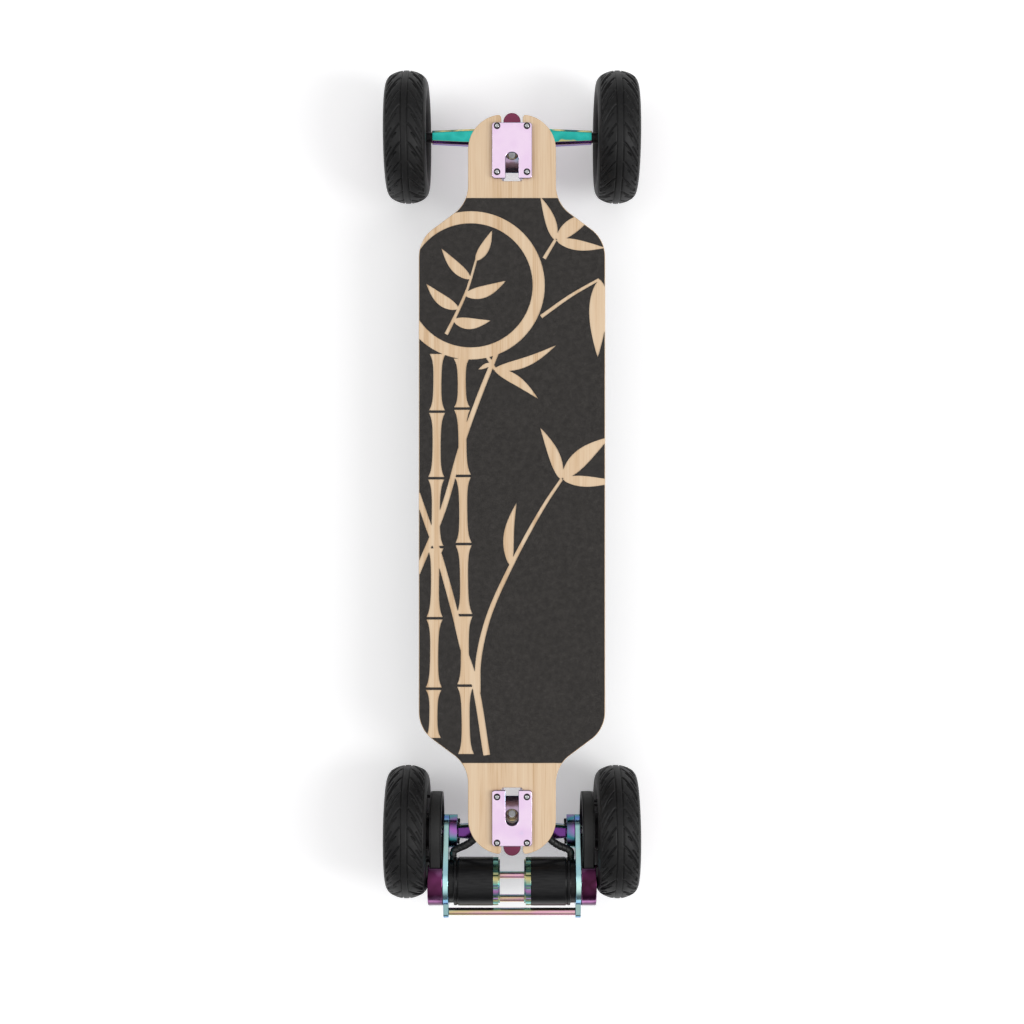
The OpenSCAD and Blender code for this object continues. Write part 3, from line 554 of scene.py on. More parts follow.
# ---- neo-chrome ----
# Polished steel and aluminium with an oxide film. Its colour turns with the way a facet faces,
# and drifts slowly along each piece.
def neochrome(name, stops, toward, drift=(0, 0, 0), shift=0.0, roughness=0.16):
    made, tree, shader = finish_of(name, {"Metallic": 1.0, "Roughness": roughness})
    coords = node(tree, "TexCoord", {})
    facing = node(
        tree, "VectorMath", {0: coords.outputs["Normal"], 1: toward}, operation="DOT_PRODUCT"
    ).outputs["Value"]
    along = node(
        tree, "VectorMath", {0: coords.outputs["Object"], 1: drift}, operation="DOT_PRODUCT"
    ).outputs["Value"]
    cloud = sums(tree, "MULTIPLY", sums(tree, "SUBTRACT", noise(tree, (26, 26, 26), 2), 0.5), 0.28)
    turned = node(tree, "Math", {0: facing, 1: 0.5, 2: 0.5 + shift}, operation="MULTIPLY_ADD").outputs[0]
    factor = sums(tree, "ADD", sums(tree, "ADD", turned, along), cloud)
    factor = sums(tree, "PINGPONG", factor, 1.0)
    tree.links.new(ramp(tree, factor, stops), shader.inputs["Base Color"])
    smear = noise(tree, (500, 60, 500), 3)
    tree.links.new(grey_ramp(tree, smear, roughness * 0.8, roughness * 1.5), shader.inputs["Roughness"])
    rough_skin(tree, shader, noise(tree, (320, 320, 320), 2), 0.02 * MM, 0.4)
    return made


# ---- baseplates ----
# Five-millimetre plates on the deck with cheeks and a sloping web below, cut from one billet.
# The flat top is pale pink and the broken edges turn blue.
plate_film = neochrome("plate_neochrome", [
    (0.0, (0.75, 0.35, 0.7)), (0.18, (0.55, 0.16, 0.45)), (0.32, (0.62, 0.26, 0.07)),
    (0.45, (0.22, 0.07, 0.2)), (0.6, (0.06, 0.1, 0.5)), (0.74, (0.1, 0.42, 0.75)),
    (0.86, (0.35, 0.7, 0.88)), (0.94, (0.84, 0.62, 0.86)), (1.0, (0.9, 0.71, 0.9)),
], (0, 0, 1), roughness=0.13)
for end in ("front", "rear"):
    rounded(f"{end}_baseplate", plate_film, 0.7 * MM)


# ---- baseplate screws ----
# Countersunk cross-head screws: a silver head in a dark ring, four to a plate, with nuts under the deck.
zinc, tree, shader = mottled(
    "bright_zinc", (0.42, 0.43, 0.44), (0.66, 0.67, 0.68), {"Metallic": 1.0, "Roughness": 0.24}, 240
)
gold, tree, shader = mottled(
    "yellow_zinc", (0.46, 0.36, 0.19), (0.72, 0.62, 0.4), {"Metallic": 1.0, "Roughness": 0.3}, 260
)
tree.links.new(grey_ramp(tree, noise(tree, (600, 600, 600), 2), 0.22, 0.42), shader.inputs["Roughness"])
oxide, tree, shader = mottled(
    "black_oxide", (0.012, 0.012, 0.013), (0.04, 0.038, 0.04), {"Metallic": 0.9, "Roughness": 0.38}, 300
)


def centres_of(name, lowest, highest):
    """The middle, in plan, of each separate solid of a CAD node that has points between two heights."""
    form = bmesh.new()
    form.from_mesh(frame["nodes"][name].data)
    bmesh.ops.remove_doubles(form, verts=form.verts, dist=2e-6)
    form.verts.ensure_lookup_table()
    seen, middles = set(), []
    for first in form.verts:
        if first in seen:
            continue
        seen.add(first)
        island = [first]
        for vert in island:
            for other in (e.other_vert(vert) for e in vert.link_edges):
                if other not in seen:
                    seen.add(other)
                    island.append(other)
        if any(lowest < v.co.z < highest for v in island):
            xs, ys = [v.co.x for v in island], [v.co.y for v in island]
            middles.append(((min(xs) + max(xs)) / 2, (min(ys) + max(ys)) / 2))
    form.free()
    return middles


def screw_pattern(head_r, height, slot_depth, up):
    """A pan head with a cross recess, its underside at the origin."""
    form = bmesh.new()
    sides = 24
    rings = [(1.0, 0.0), (1.0, 0.42), (0.93, 0.72), (0.74, 0.95), (0.5, 1.0)]
    loops = [
        [form.verts.new((head_r * k * math.cos(2 * math.pi * i / sides),
                         head_r * k * math.sin(2 * math.pi * i / sides), up * height * h))
         for i in range(sides)]
        for k, h in rings
    ]
    for low, high in zip(loops, loops[1:]):
        for i in range(sides):
            form.faces.new((low[i], low[(i + 1) % sides], high[(i + 1) % sides], high[i]))
    form.faces.new(loops[0][::-1])
    arm, waist = 0.42 * head_r, 0.13 * head_r
    cross = []
    for quarter in range(4):
        spin = Matrix.Rotation(quarter * math.pi / 2, 3, "Z")
        cross += [spin @ Vector((x, y, 0)) for x, y in ((arm, -waist), (arm, waist), (waist, waist))]
    rim = [form.verts.new((p.x, p.y, up * height)) for p in cross]
    floor = [form.verts.new((p.x * 0.8, p.y * 0.8, up * (height - slot_depth))) for p in cross]
    for i in range(12):
        form.faces.new((rim[i], rim[(i + 1) % 12], floor[(i + 1) % 12], floor[i]))
    form.faces.new(floor)
    for i in range(sides):
        near = min(range(12), key=lambda k: (rim[k].co - loops[-1][i].co).length)
        after = min(range(12), key=lambda k: (rim[k].co - loops[-1][(i + 1) % sides].co).length)
        form.faces.new((loops[-1][i], loops[-1][(i + 1) % sides], rim[near]))
        step = near
        while step != after:
            form.faces.new((loops[-1][(i + 1) % sides], rim[(step + 1) % 12], rim[step]))
            step = (step + 1) % 12
    bmesh.ops.recalc_face_normals(form, faces=form.faces)
    mesh = bpy.data.meshes.new("screw_pattern")
    form.to_mesh(mesh)
    form.free()
    return mesh


def set_out(name, places, pattern, material):
    """Sets a small mesh at every place, each turned a little, and returns one plain mesh object."""
    tree = bpy.data.node_groups.new(name, "GeometryNodeTree")
    face = tree.interface
    face.new_socket("Places", in_out="INPUT", socket_type="NodeSocketGeometry")
    sockets = {
        "Pattern": face.new_socket("Pattern", in_out="INPUT", socket_type="NodeSocketObject"),
        "Finish": face.new_socket("Finish", in_out="INPUT", socket_type="NodeSocketMaterial"),
    }
    face.new_socket("Pieces", in_out="OUTPUT", socket_type="NodeSocketGeometry")
    given = tree.nodes.new("NodeGroupInput")
    info = tree.nodes.new("GeometryNodeObjectInfo")
    turn = tree.nodes.new("FunctionNodeRandomValue")
    turn.data_type = "FLOAT_VECTOR"
    turn.inputs[0].default_value = (0, 0, 0)
    turn.inputs[1].default_value = (0, 0, 2 * math.pi)
    turn.inputs["Seed"].default_value = 3
    spread = tree.nodes.new("GeometryNodeInstanceOnPoints")
    real = tree.nodes.new("GeometryNodeRealizeInstances")
    dress = tree.nodes.new("GeometryNodeSetMaterial")
    out = tree.nodes.new("NodeGroupOutput")
    for a, b in [
        (given.outputs["Places"], spread.inputs["Points"]), (given.outputs["Pattern"], info.inputs["Object"]),
        (info.outputs["Geometry"], spread.inputs["Instance"]), (turn.outputs[0], spread.inputs["Rotation"]),
        (spread.outputs[0], real.inputs[0]), (real.outputs[0], dress.inputs["Geometry"]),
        (given.outputs["Finish"], dress.inputs["Material"]), (dress.outputs[0], out.inputs["Pieces"]),
    ]:
        tree.links.new(a, b)
    model = bpy.data.objects.new(name + "_pattern", pattern)
    bpy.context.scene.collection.objects.link(model)
    points = bpy.data.meshes.new(name + "_places")
    points.from_pydata(places, [], [])
    holder = bpy.data.objects.new(name + "_holder", points)
    bpy.context.scene.collection.objects.link(holder)
    modifier = holder.modifiers.new("set_out", "NODES")
    modifier.node_group = tree
    for key, value in (("Pattern", model), ("Finish", material)):
        modifier[sockets[key].identifier] = value
    bpy.context.view_layer.update()
    mesh = bpy.data.meshes.new_from_object(holder.evaluated_get(bpy.context.evaluated_depsgraph_get()))
    bpy.data.objects.remove(holder)
    bpy.data.objects.remove(model)
    return show(name, mesh, material)


bolt_low, bolt_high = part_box("baseplate_bolts")
bolt_places = centres_of("baseplate_bolts", bolt_high.z - 5 * MM, bolt_high.z + 1 * MM)
collar_z = bolt_high.z - 2.6 * MM
collars = set_out(
    "screw_collars", [(x, y, collar_z) for x, y in bolt_places],
    screw_pattern(4.4 * MM, 1.1 * MM, 0.1 * MM, 1), oxide,
)
heads = set_out(
    "screw_heads", [(x, y, collar_z + 0.6 * MM) for x, y in bolt_places],
    screw_pattern(2.9 * MM, 1.6 * MM, 0.9 * MM, 1), zinc,
)
shanks = set_out(
    "screw_shanks", [(x, y, bolt_low.z) for x, y in bolt_places],
    screw_pattern(2.45 * MM, collar_z - bolt_low.z, 0.1 * MM, 1), zinc,
)
for piece, slot in ((collars, "screw_black"), (heads, "fastener_steel"), (shanks, "fastener_steel")):
    stands_for(piece, "baseplate_bolts", "board")
rounded("baseplate_nuts", gold, 0.35 * MM)


# ---- links, kingpins and bushings ----
# The middle piece of each truck turns on the inner kingpin and carries the outer one. Urethane bushings on
# both kingpins give as the truck leans.
link_film = neochrome("link_neochrome", [
    (0.0, (0.3, 0.06, 0.3)), (0.2, (0.1, 0.05, 0.35)), (0.4, (0.03, 0.16, 0.42)),
    (0.55, (0.1, 0.04, 0.1)), (0.7, (0.45, 0.17, 0.05)), (0.85, (0.13, 0.035, 0.06)),
    (1.0, (0.22, 0.05, 0.1)),
], (0, 0.5, 0.87))
urethane, tree, shader = mottled(
    "urethane", (0.6, 0.56, 0.47), (0.76, 0.72, 0.63),
    {"Roughness": 0.4, "Subsurface Weight": 0.25, "Subsurface Scale": 0.003}, 120,
)


def truck_point(end, side, out, up):
    """A point in the truck's own frame, in millimetres from its axle, as a place in the row frame."""
    turned = 1 if end == "front" else -1
    middle = (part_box(f"{end}_axle")[0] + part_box(f"{end}_axle")[1]) / 2
    return middle + Vector((turned * side, turned * out, up)) * MM


def turned_piece(name, start, way, profile, material, sides=48):
    """Spins a closed outline of (along, radius) points, in millimetres, about a line."""
    way = Vector(way).normalized()
    u = way.orthogonal().normalized()
    v = way.cross(u)
    points, faces, count = [], [], len(profile)
    for i in range(sides):
        a = 2 * math.pi * i / sides
        for along, radius in profile:
            points.append(Vector(start) + MM * (along * way + radius * (math.cos(a) * u + math.sin(a) * v)))
        for k in range(count):
            n, m = (i + 1) % sides, (k + 1) % count
            faces.append((i * count + k, n * count + k, n * count + m, i * count + m))
    mesh = bpy.data.meshes.new(name)
    mesh.from_pydata(points, [], faces)
    faces_out(mesh)
    mesh.shade_smooth()
    mesh.set_sharp_from_angle(angle=math.radians(35))
    return show(name, mesh, material)


def barrel(length, outer, inner):
    """The outline of a bushing with rolled edges, from its first face to its last."""
    lip = 1.1
    return [
        (0, inner), (0, outer - lip), (0.35, outer - 0.35), (lip, outer), (length / 2, outer + 0.25),
        (length - lip, outer), (length - 0.35, outer - 0.35), (length, outer - lip), (length, inner),
    ]


# Middle and slope of each kingpin in the truck's own frame, outboard of the axle and above it.
pins = {"inner": ((-24, 33), 120), "outer": ((-16, -4), 80)}
spare_of = {"inner": (0, ("board", "link")), "outer": (1, ("hanger", "link"))}
for end in ("front", "rear"):
    rounded(f"{end}_link", link_film, 0.6 * MM)
    rounded(f"{end}_kingpins", zinc, 0.5 * MM)
    rounded(f"{end}_kingpin_nuts", gold, 0.4 * MM)
    for stage, (centre, slope) in pins.items():
        spare, owners = spare_of[stage]
        way = (math.cos(math.radians(slope)), math.sin(math.radians(slope)))
        for place, sign in (("upper", 1), ("lower", -1)):
            ring = truck_point(end, 0, centre[0] + sign * 4 * way[0], centre[1] + sign * 4 * way[1])
            seat = truck_point(end, 0, centre[0] + sign * 12 * way[0], centre[1] + sign * 12 * way[1])
            outer = 10 + (spare if sign < 0 else 0)
            made = turned_piece(
                f"{end}_{stage}_{place}_bushing", ring, seat - ring, barrel(8, outer - 0.3, 5.2), urethane
            )
            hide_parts(f"{end}_{stage}_bushings")
            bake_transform(made)
    for stage, slope, reach, size, length, owner in (
        ("inner", 30, 20, (7.4, 5.65), 13.3, "board"),
        ("outer", 35, 31, (6.9, 5.15), 7.9, f"{end}_link"),
    ):
        centre = pins[stage][0]
        way = (math.cos(math.radians(slope)), math.sin(math.radians(slope)))
        start = truck_point(end, 0, centre[0] + reach * way[0], centre[1] + reach * way[1])
        stop = truck_point(end, 0, centre[0] + (reach + 1) * way[0], centre[1] + (reach + 1) * way[1])
        cup = turned_piece(
            f"{end}_{stage}_pivot_cup", start, stop - start, barrel(length, size[0] - 0.3, size[1]), urethane
        )
        stands_for(cup, f"{end}_{stage}_bushings", owner)


# ---- hangers and axles ----
# Cast and machined arms with flat chamfered facets. The front one is teal on top, the rear one darker,
# and both turn magenta below. Steel axles are pressed into their ends.
front_film = neochrome("front_hanger_neochrome", [
    (0.0, (0.78, 0.33, 0.72)), (0.1, (0.72, 0.28, 0.7)), (0.17, (0.35, 0.75, 0.8)),
    (0.3, (0.16, 0.1, 0.55)), (0.48, (0.25, 0.09, 0.48)), (0.6, (0.55, 0.4, 0.12)),
    (0.76, (0.3, 0.1, 0.5)), (0.9, (0.01, 0.12, 0.1)), (0.93, (0.6, 0.5, 0.2)),
    (0.945, (0.02, 0.36, 0.31)), (1.0, (0.04, 0.5, 0.44)),
], (0, 0.12, 0.99), (0, 4.5, 0), -4.5 * wheel_centre("front", "left").y - 0.02, roughness=0.15)
rear_film = neochrome("rear_hanger_neochrome", [
    (0.0, (0.78, 0.3, 0.68)), (0.1, (0.66, 0.24, 0.6)), (0.18, (0.3, 0.62, 0.78)),
    (0.32, (0.1, 0.1, 0.48)), (0.5, (0.1, 0.3, 0.32)), (0.62, (0.6, 0.46, 0.14)),
    (0.76, (0.05, 0.26, 0.28)), (0.88, (0.14, 0.04, 0.22)), (1.0, (0.16, 0.05, 0.24)),
], (0, -0.12, 0.99), roughness=0.15)
for end, film in (("front", front_film), ("rear", rear_film)):
    # The bowl round each kingpin nut is painted near-black: painted shade in the recess where the nut sits
    # deep in the hanger.
    tree, shader = film.node_tree, film.node_tree.nodes["Principled BSDF"]
    (out, up), slope = pins["outer"]
    centre = truck_point(end, 0, out, up)
    above = truck_point(end, 0, out + math.cos(math.radians(slope)), up + math.sin(math.radians(slope)))
    way = tuple((above - centre).normalized())
    coords = node(tree, "TexCoord", {}).outputs["Object"]
    place = node(tree, "VectorMath", {0: coords, 1: tuple(centre)}, operation="SUBTRACT").outputs["Vector"]
    spin = node(tree, "VectorMath", {0: place, 1: way}, operation="CROSS_PRODUCT").outputs["Vector"]
    away = node(tree, "VectorMath", {0: spin}, operation="LENGTH").outputs["Value"]
    deep = node(tree, "VectorMath", {0: place, 1: way}, operation="DOT_PRODUCT").outputs["Value"]
    within = sums(tree, "LESS_THAN", away, 13.1 * MM)
    bowl_painted_shade = sums(tree, "MULTIPLY", within, sums(tree, "LESS_THAN", deep, -3.9 * MM))
    film_colour = shader.inputs["Base Color"].links[0].from_socket
    tree.links.new(mixed(tree, bowl_painted_shade, film_colour, (0.004, 0.004, 0.004, 1)), shader.inputs["Base Color"])
rounded("front_hanger", front_film, 0.55 * MM)
rounded("rear_hanger", rear_film, 0.55 * MM)
for end in ("front", "rear"):
    rounded(f"{end}_axle", oxide if end == "front" else zinc, 0.6 * MM)
    rounded(f"{end}_axle_nuts", zinc, 0.5 * MM)


# ---- rims and bearings ----
# Each rim is one turned and milled piece: a barrel with two lips, five spokes and a hub that holds two
# ball bearings.
rim_film = neochrome("rim_neochrome", [
    (0.0, (0.2, 0.08, 0.22)), (0.25, (0.5, 0.24, 0.2)), (0.5, (0.3, 0.1, 0.28)),
    (0.75, (0.55, 0.3, 0.22)), (1.0, (0.34, 0.12, 0.4)),
], (0, 0.3, 0.95), (2.0, 1.2, 3.0))


def rim_disc(start, half):
    """The five-spoke web between hub and barrel, milled with rounded windows."""
    def circle(radius, count):
        turns = [2 * math.pi * i / count for i in range(count)]
        return [Vector((radius * math.cos(a), radius * math.sin(a))) for a in turns]

    windows = []
    for k in range(5):
        middle = 2 * math.pi * (k + 0.5) / 5
        inner, outer, near, far = 20.5, 40.5, math.radians(17), math.radians(28)
        shape = []
        for radius, spread, steps in ((outer, far, 13), (inner, -near, 9)):
            turns = [middle + a for a in np.linspace(-spread, spread, steps)]
            shape += [Vector((radius * math.cos(a), radius * math.sin(a))) for a in turns]
        windows.append(anticlockwise(softened_corners(shape, 2.2)))
    form = cut_sheet(
        [circle(44, 96), circle(14.5, 64)] + windows,
        lambda p: (-half * MM, p.x * MM, p.y * MM), (2 * half * MM, 0, 0), 1e-6,
    )
    bmesh.ops.dissolve_limit(form, angle_limit=math.radians(0.5), verts=form.verts, edges=form.edges)
    sharp = [e for e in form.edges if e.calc_face_angle(0) > math.radians(50)]
    bmesh.ops.bevel(
        form, geom=sharp, offset=0.9 * MM, segments=2, profile=0.5, affect="EDGES", clamp_overlap=False
    )
    bmesh.ops.triangulate(form, faces=[f for f in form.faces if len(f.verts) > 4])
    bmesh.ops.translate(form, vec=start, verts=form.verts)
    return form


def softened_corners(shape, radius):
    """Rounds the corners of an outline that turn by more than 40 degrees."""
    result = []
    for i, at in enumerate(shape):
        back, on = (shape[i - 1] - at), (shape[(i + 1) % len(shape)] - at)
        if back.angle(on) > math.radians(140):
            result.append(at)
            continue
        first, last = at + back.normalized() * radius * 0.7, at + on.normalized() * radius * 0.7
        result += [first.lerp(at, t).lerp(at.lerp(last, t), t) for t in (0, 0.25, 0.5, 0.75, 1)]
    return result


rim_barrel = [
    (-20, 43.4), (-19.6, 43), (-10, 42.4), (10, 42.4), (19.6, 43), (20, 43.4), (20, 50.4), (19.4, 51),
    (17.6, 51), (17.2, 50.6), (16.4, 47.95), (-16.4, 47.95), (-17.2, 50.6), (-17.6, 51), (-19.4, 51),
    (-20, 50.4),
]
rim_hub = [
    (-19, 13.1), (-19, 16.4), (-18.4, 17), (-8, 17.6), (8, 17.6), (18.4, 17), (19, 16.4), (19, 13.1),
    (11, 13.1), (11, 8.5), (-11, 8.5), (-11, 13.1),
]
steel, tree, shader = mottled(
    "ground_steel", (0.5, 0.5, 0.51), (0.64, 0.64, 0.65), {"Metallic": 1.0, "Roughness": 0.28}, 300
)
for end, side in wheels:
    name = f"{end}_{side}"
    hub = wheel_centre(end, side)
    form = rim_disc(hub, 6.5)
    for outline in (rim_barrel, rim_hub):
        ring_piece = turned_piece("rim_ring", hub, (1, 0, 0), outline, rim_film, 96)
        form.from_mesh(ring_piece.data)
        bpy.data.objects.remove(ring_piece)
    mesh = bpy.data.meshes.new(name + "_spoked_rim")
    form.to_mesh(mesh)
    form.free()
    mesh.shade_smooth()
    mesh.set_sharp_from_angle(angle=math.radians(35))
    made = show(f"{name}_spoked_rim", mesh, rim_film)
    stands_for(made, f"{name}_rim", f"{name}_wheel")
    rounded(f"{name}_bearings", steel, 0.3 * MM)


# ---- battery case ----
# A moulded tub with a flange, screwed up against the deck over a gasket. Five ribs cross it, a fine bead
# runs round the flange and along each rib, and the surface has a fine mottled grain.
satin, tree, shader = finish_of("case_black", {"Roughness": 0.42, "Specular IOR Level": 0.4})
grain = ramp(tree, noise(tree, (420, 420, 420), 4, 0.65), [
    (0.34, (0.008, 0.008, 0.0085)), (0.72, (0.02, 0.02, 0.021)),
])
height = node(tree, "SeparateXYZ", {0: node(tree, "TexCoord", {}).outputs["Object"]}).outputs["Z"]
# The lowest 1.6 mm of the case, the undersides of the ribs, is painted near-black: painted shade on the ribs.
rib_painted_shade = sums(tree, "LESS_THAN", height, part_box("battery_case")[0].z + 1.6 * MM)
tree.links.new(mixed(tree, rib_painted_shade, grain, (0.002, 0.002, 0.002, 1)), shader.inputs["Base Color"])
tree.links.new(grey_ramp(tree, noise(tree, (60, 60, 60), 4), 0.34, 0.52), shader.inputs["Roughness"])
rough_skin(tree, shader, noise(tree, (1300, 1300, 1300), 2), 0.05 * MM, 0.5)
rounded("battery_case", satin, 0.6 * MM)
rounded("charge_cap", satin, 0.5 * MM)


def bead(name, route, radius, material, closed=False, sides=8):
    """A round bead along a route."""
    form = bmesh.new()
    count = len(route)
    rings = []
    for i, at in enumerate(route):
        on = route[(i + 1) % count] if closed or i + 1 < count else at
        back = route[i - 1] if closed or i else at
        way = (on - back).normalized()
        u = way.cross(Vector((0, 0, 1))).normalized()
        v = u.cross(way)
        rings.append([
            form.verts.new(at + radius * (math.cos(2 * math.pi * k / sides) * u
                                          + math.sin(2 * math.pi * k / sides) * v))
            for k in range(sides)
        ])
    for a, b in zip(rings, rings[1:] + (rings[:1] if closed else [])):
        for k in range(sides):
            form.faces.new((a[k], a[(k + 1) % sides], b[(k + 1) % sides], b[k]))
    if not closed:
        form.faces.new(rings[0])
        form.faces.new(rings[-1][::-1])
    bmesh.ops.recalc_face_normals(form, faces=form.faces)
    mesh = bpy.data.meshes.new(name)
    form.to_mesh(mesh)
    form.free()
    mesh.shade_smooth()
    return show(name, mesh, material)


case_low, case_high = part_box("battery_case")
flange_z = case_high.z - 3 * MM
reach = 8 * MM
flange_line = []
for i, at in enumerate(sheet_edge):
    way = (sheet_edge[(i + 1) % len(sheet_edge)] - sheet_edge[i - 1]).normalized()
    inward = Vector((-way.y, way.x))
    if inward.dot(at - Vector((0, mid_y))) > 0:
        inward = -inward
    spot = at + reach * inward
    spot.y = min(max(spot.y, mid_y - 0.36), mid_y + 0.354)
    flange_line.append(Vector((spot.x, spot.y, flange_z)))
thin = [flange_line[0]]
for at in flange_line[1:]:
    if (at - thin[-1]).length > 1.5 * MM:
        thin.append(at)
flange_bead = bead("flange_bead", thin, 0.8 * MM, satin, closed=True)
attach(flange_bead, "board")
rib_places = [159.6, 77.2, -6.2, -88.8, -242]
for i, y in enumerate(rib_places):
    half = 105 * MM
    line = [Vector((half * k, mid_y + y * MM, case_low.z + 0.1 * MM)) for k in np.linspace(-1, 1, 9)]
    made = bead(f"rib_bead_{i + 1}", line, 0.9 * MM, satin)
    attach(made, "board")

screw_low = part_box("case_screws")[0].z
under_z = flange_z
case_spots = centres_of("case_screws", under_z - 3 * MM, deck_high.z)
case_heads = set_out(
    "case_screw_heads", [(x, y, flange_z) for x, y in case_spots],
    screw_pattern(3.6 * MM, 1.9 * MM, 1.1 * MM, -1), oxide,
)
sink_low, sink_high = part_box("heat_sink")
sink_spots = centres_of("case_screws", screw_low - MM, sink_low.z + MM)
sink_heads = set_out(
    "heat_sink_screw_heads", [(x, y, sink_low.z) for x, y in sink_spots],
    screw_pattern(2.8 * MM, 1.5 * MM, 0.8 * MM, -1), oxide,
)
for piece in (case_heads, sink_heads):
    stands_for(piece, "case_screws", "board")

anodised, tree, shader = mottled(
    "sink_grey", (0.085, 0.085, 0.088), (0.14, 0.14, 0.145), {"Metallic": 0.7, "Roughness": 0.5}, 700, 4
)
rough_skin(tree, shader, noise(tree, (1500, 1500, 1500), 2), 0.04 * MM, 0.5)
rounded("heat_sink", anodised, 0.6 * MM)
button_black, tree, shader = mottled(
    "button_black", (0.012, 0.012, 0.012), (0.022, 0.022, 0.022), {"Roughness": 0.35}, 400
)
rounded("power_button", button_black, 0.5 * MM)


# ---- inside the case ----
# Cells in five rows, their board, the motor controller and the receiver. They show only through the ports.
for name, dark, light, plain, nodes in (
    ("seal_black", (0.008, 0.008, 0.008), (0.02, 0.02, 0.02), {"Roughness": 0.7},
     ("case_gasket", "cable_grommets")),
    ("insert_brass", (0.55, 0.38, 0.15), (0.75, 0.56, 0.28), {"Metallic": 1.0, "Roughness": 0.35},
     ("deck_inserts",)),
    ("cell_wrap", (0.02, 0.08, 0.3), (0.04, 0.14, 0.42), {"Roughness": 0.3}, ("battery_cells",)),
    ("circuit_green", (0.01, 0.12, 0.04), (0.02, 0.2, 0.07), {"Roughness": 0.35},
     ("battery_board", "radio_receiver")),
    ("controller_alloy", (0.4, 0.4, 0.42), (0.6, 0.6, 0.62), {"Metallic": 1.0, "Roughness": 0.4},
     ("motor_controller",)),
):
    wear(mottled(name, dark, light, plain)[0], *nodes)
wear(steel, "charge_socket")


# ---- motor mounts, clamps and bars ----
# Seven-millimetre plates clamped to the hanger carry the motors and are tied by three cross bars.
mount_film = neochrome("mount_neochrome", [
    (0.0, (0.6, 0.25, 0.6)), (0.2, (0.25, 0.12, 0.5)), (0.4, (0.05, 0.25, 0.35)),
    (0.55, (0.04, 0.3, 0.3)), (0.72, (0.12, 0.2, 0.55)), (0.84, (0.3, 0.62, 0.85)),
    (0.92, (0.5, 0.85, 0.92)), (1.0, (0.62, 0.92, 0.86)),
], (0, 0, 1), (0, 0.4, 0), 0.2)
# The near-white stop at the top of this ramp is a painted highlight; the teal and purple bands are the film's
# colour.
clamp_film_and_highlight = neochrome("clamp_neochrome_and_highlight", [
    (0.0, (0.45, 0.15, 0.5)), (0.16, (0.05, 0.3, 0.32)), (0.3, (0.2, 0.06, 0.28)),
    (0.45, (0.05, 0.35, 0.34)), (0.6, (0.4, 0.14, 0.5)), (0.72, (0.03, 0.24, 0.28)),
    (0.84, (0.24, 0.08, 0.34)), (0.93, (0.1, 0.5, 0.48)), (1.0, (0.72, 0.82, 0.82)),
], (0, 0.5, 0.87), (5.0, 0, 0))
bar_film = neochrome("bar_neochrome", [
    (0.0, (0.75, 0.35, 0.7)), (0.25, (0.35, 0.6, 0.62)), (0.5, (0.62, 0.5, 0.24)),
    (0.72, (0.78, 0.4, 0.55)), (0.88, (0.8, 0.62, 0.48)), (1.0, (0.72, 0.74, 0.52)),
], (0, -0.25, 0.97), (1.6, 0.6, 0))
ring_film = neochrome("ring_neochrome", [
    (0.0, (0.5, 0.2, 0.5)), (0.2, (0.06, 0.35, 0.35)), (0.4, (0.62, 0.52, 0.22)),
    (0.55, (0.05, 0.2, 0.15)), (0.7, (0.35, 0.75, 0.7)), (0.8, (0.75, 0.78, 0.5)),
    (0.9, (0.06, 0.3, 0.28)), (1.0, (0.55, 0.75, 0.7)),
], (0, 0.75, 0.66), (0, 14.0, 4.0))
# The bright pink stop at 0.86 lands on the rounded top edges of the covers: a painted highlight over the dark
# film colour.
cover_film_and_highlight = neochrome("cover_neochrome", [
    (0.0, (0.16, 0.03, 0.12)), (0.3, (0.03, 0.01, 0.05)), (0.6, (0.05, 0.015, 0.06)),
    (0.78, (0.1, 0.02, 0.09)), (0.86, (0.6, 0.25, 0.55)), (0.92, (0.14, 0.03, 0.1)),
    (1.0, (0.05, 0.012, 0.03)),
], (0, 0.1, 0.99))
rounded("motor_mounts", mount_film, 0.5 * MM)
rounded("mount_clamps", clamp_film_and_highlight, 0.7 * MM)
rounded("mount_bolts", oxide, 0.4 * MM)
rounded("guard_bars", bar_film, 0.5 * MM)
rounded("motor_end_rings", ring_film, 0.5 * MM)
rounded("belt_covers", cover_film_and_highlight, 1.1 * MM, steps=3)

# ---- motors, pulleys and belts ----
# Sealed outrunner motors in satin black cans. Toothed belts run from steel pinions to large black pulleys.
can_black, tree, shader = finish_of("motor_black", {"Metallic": 0.6, "Roughness": 0.3})
tree.links.new(
    ramp(tree, noise(tree, (60, 500, 500), 4), [(0.3, (0.008, 0.008, 0.009)), (0.7, (0.02, 0.02, 0.021))]),
    shader.inputs["Base Color"],
)
tree.links.new(grey_ramp(tree, noise(tree, (30, 400, 400), 3), 0.24, 0.36), shader.inputs["Roughness"])
rounded("motor_cans", can_black, 0.9 * MM, steps=3)
drum_black, tree, shader = mottled(
    "pulley_black", (0.01, 0.01, 0.0105), (0.026, 0.026, 0.027), {"Metallic": 0.35, "Roughness": 0.45}
)
for side in ("left", "right"):
    rounded(f"{side}_wheel_pulley", drum_black, 0.25 * MM, angle=50, steps=1)
    rounded(f"{side}_motor_pinion", steel, 0.2 * MM, angle=50, steps=1)
belt_rubber, tree, shader = finish_of("belt_rubber", {"Roughness": 0.62})
rib = node(tree, "TexWave", {"Vector": stretched(tree, (1, 1, 1)), "Scale": 330.0}, bands_direction="X")
tree.links.new(
    ramp(tree, rib.outputs["Fac"], [(0.2, (0.008, 0.008, 0.008)), (0.8, (0.022, 0.022, 0.022))]),
    shader.inputs["Base Color"],
)
rough_skin(tree, shader, rib.outputs["Fac"], 0.12 * MM, 0.6)
rounded("drive_belts", belt_rubber, 0.3 * MM, angle=50, steps=1)


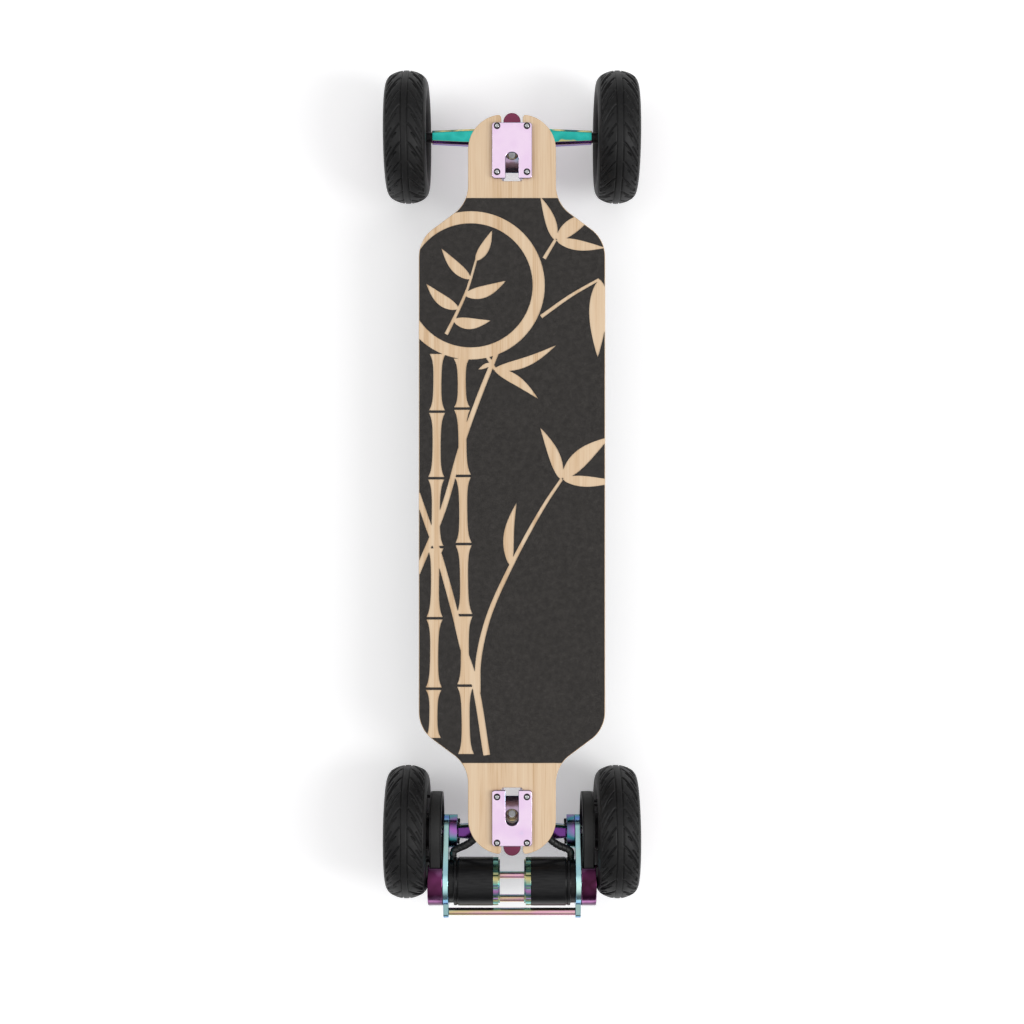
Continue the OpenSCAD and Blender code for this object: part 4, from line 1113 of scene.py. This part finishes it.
# ---- motor cables ----
# Three-phase leads in black spiral wrap. They leave the case through grommets, pass the link and follow
# the hanger to the motors. Each is in two lengths that meet beside the link.
cable_black, tree, shader = mottled(
    "cable_wrap", (0.007, 0.007, 0.007), (0.018, 0.018, 0.018), {"Roughness": 0.4}, 300
)
cable_route = [
    (33, -115, 37), (33, -80, 37), (33, -52, 37), (34, -30, 36), (39, -12, 33), (50, 4, 28), (61, 13, 24.5),
    (70, 17.5, 21.5), (76.3, 20.8, 20.9), (78.3, 24.5, 21), (78.3, 28.5, 21),
]
meeting = -22
wrap_pitch = 6.5


def wrapped_tube(name, route, start_at):
    """A tube whose radius rises and falls along a spiral."""
    sides, count = 28, len(route)
    points, faces, travelled = [], [], start_at
    for i, at in enumerate(route):
        way = (route[min(i + 1, count - 1)] - route[max(i - 1, 0)]).normalized()
        u = way.cross(Vector((0, 0, 1))).normalized()
        v = way.cross(u)
        travelled += (at - route[i - 1]).length / MM if i else 0
        for k in range(sides):
            a = 2 * math.pi * k / sides
            phase = (travelled / wrap_pitch - k / sides) % 1.0
            radius = 4.95 - 0.75 * max(0.0, 1 - abs(phase - 0.5) / 0.13)
            points.append(at + radius * MM * (math.cos(a) * u + math.sin(a) * v))
        if i:
            for k in range(sides):
                a, b = (i - 1) * sides + k, (i - 1) * sides + (k + 1) % sides
                faces.append((a, a + sides, b + sides, b))
    faces.append(tuple(range(sides)))
    faces.append(tuple((count - 1) * sides + k for k in reversed(range(sides))))
    mesh = bpy.data.meshes.new(name)
    mesh.from_pydata(points, [], faces)
    form = bmesh.new()
    form.from_mesh(mesh)
    bmesh.ops.recalc_face_normals(form, faces=form.faces)
    form.to_mesh(mesh)
    form.free()
    mesh.shade_smooth()
    return show(name, mesh, cable_black), travelled


for side, mark in (("left", 1), ("right", -1)):
    coarse = [truck_point("rear", mark * p[0], p[1], p[2]) for p in cable_route]
    route = smooth_route(coarse, 26)
    split = next(i for i, at in enumerate(route) if at.y < truck_point("rear", 0, meeting, 0).y)
    first, so_far = wrapped_tube(f"{side}_cable_to_link", route[:split + 1], 0.0)
    second, _ = wrapped_tube(f"{side}_cable_to_motor", route[split:], so_far)
    for piece in (first, second):
        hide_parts("motor_cables")
    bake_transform(first)
    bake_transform(second)
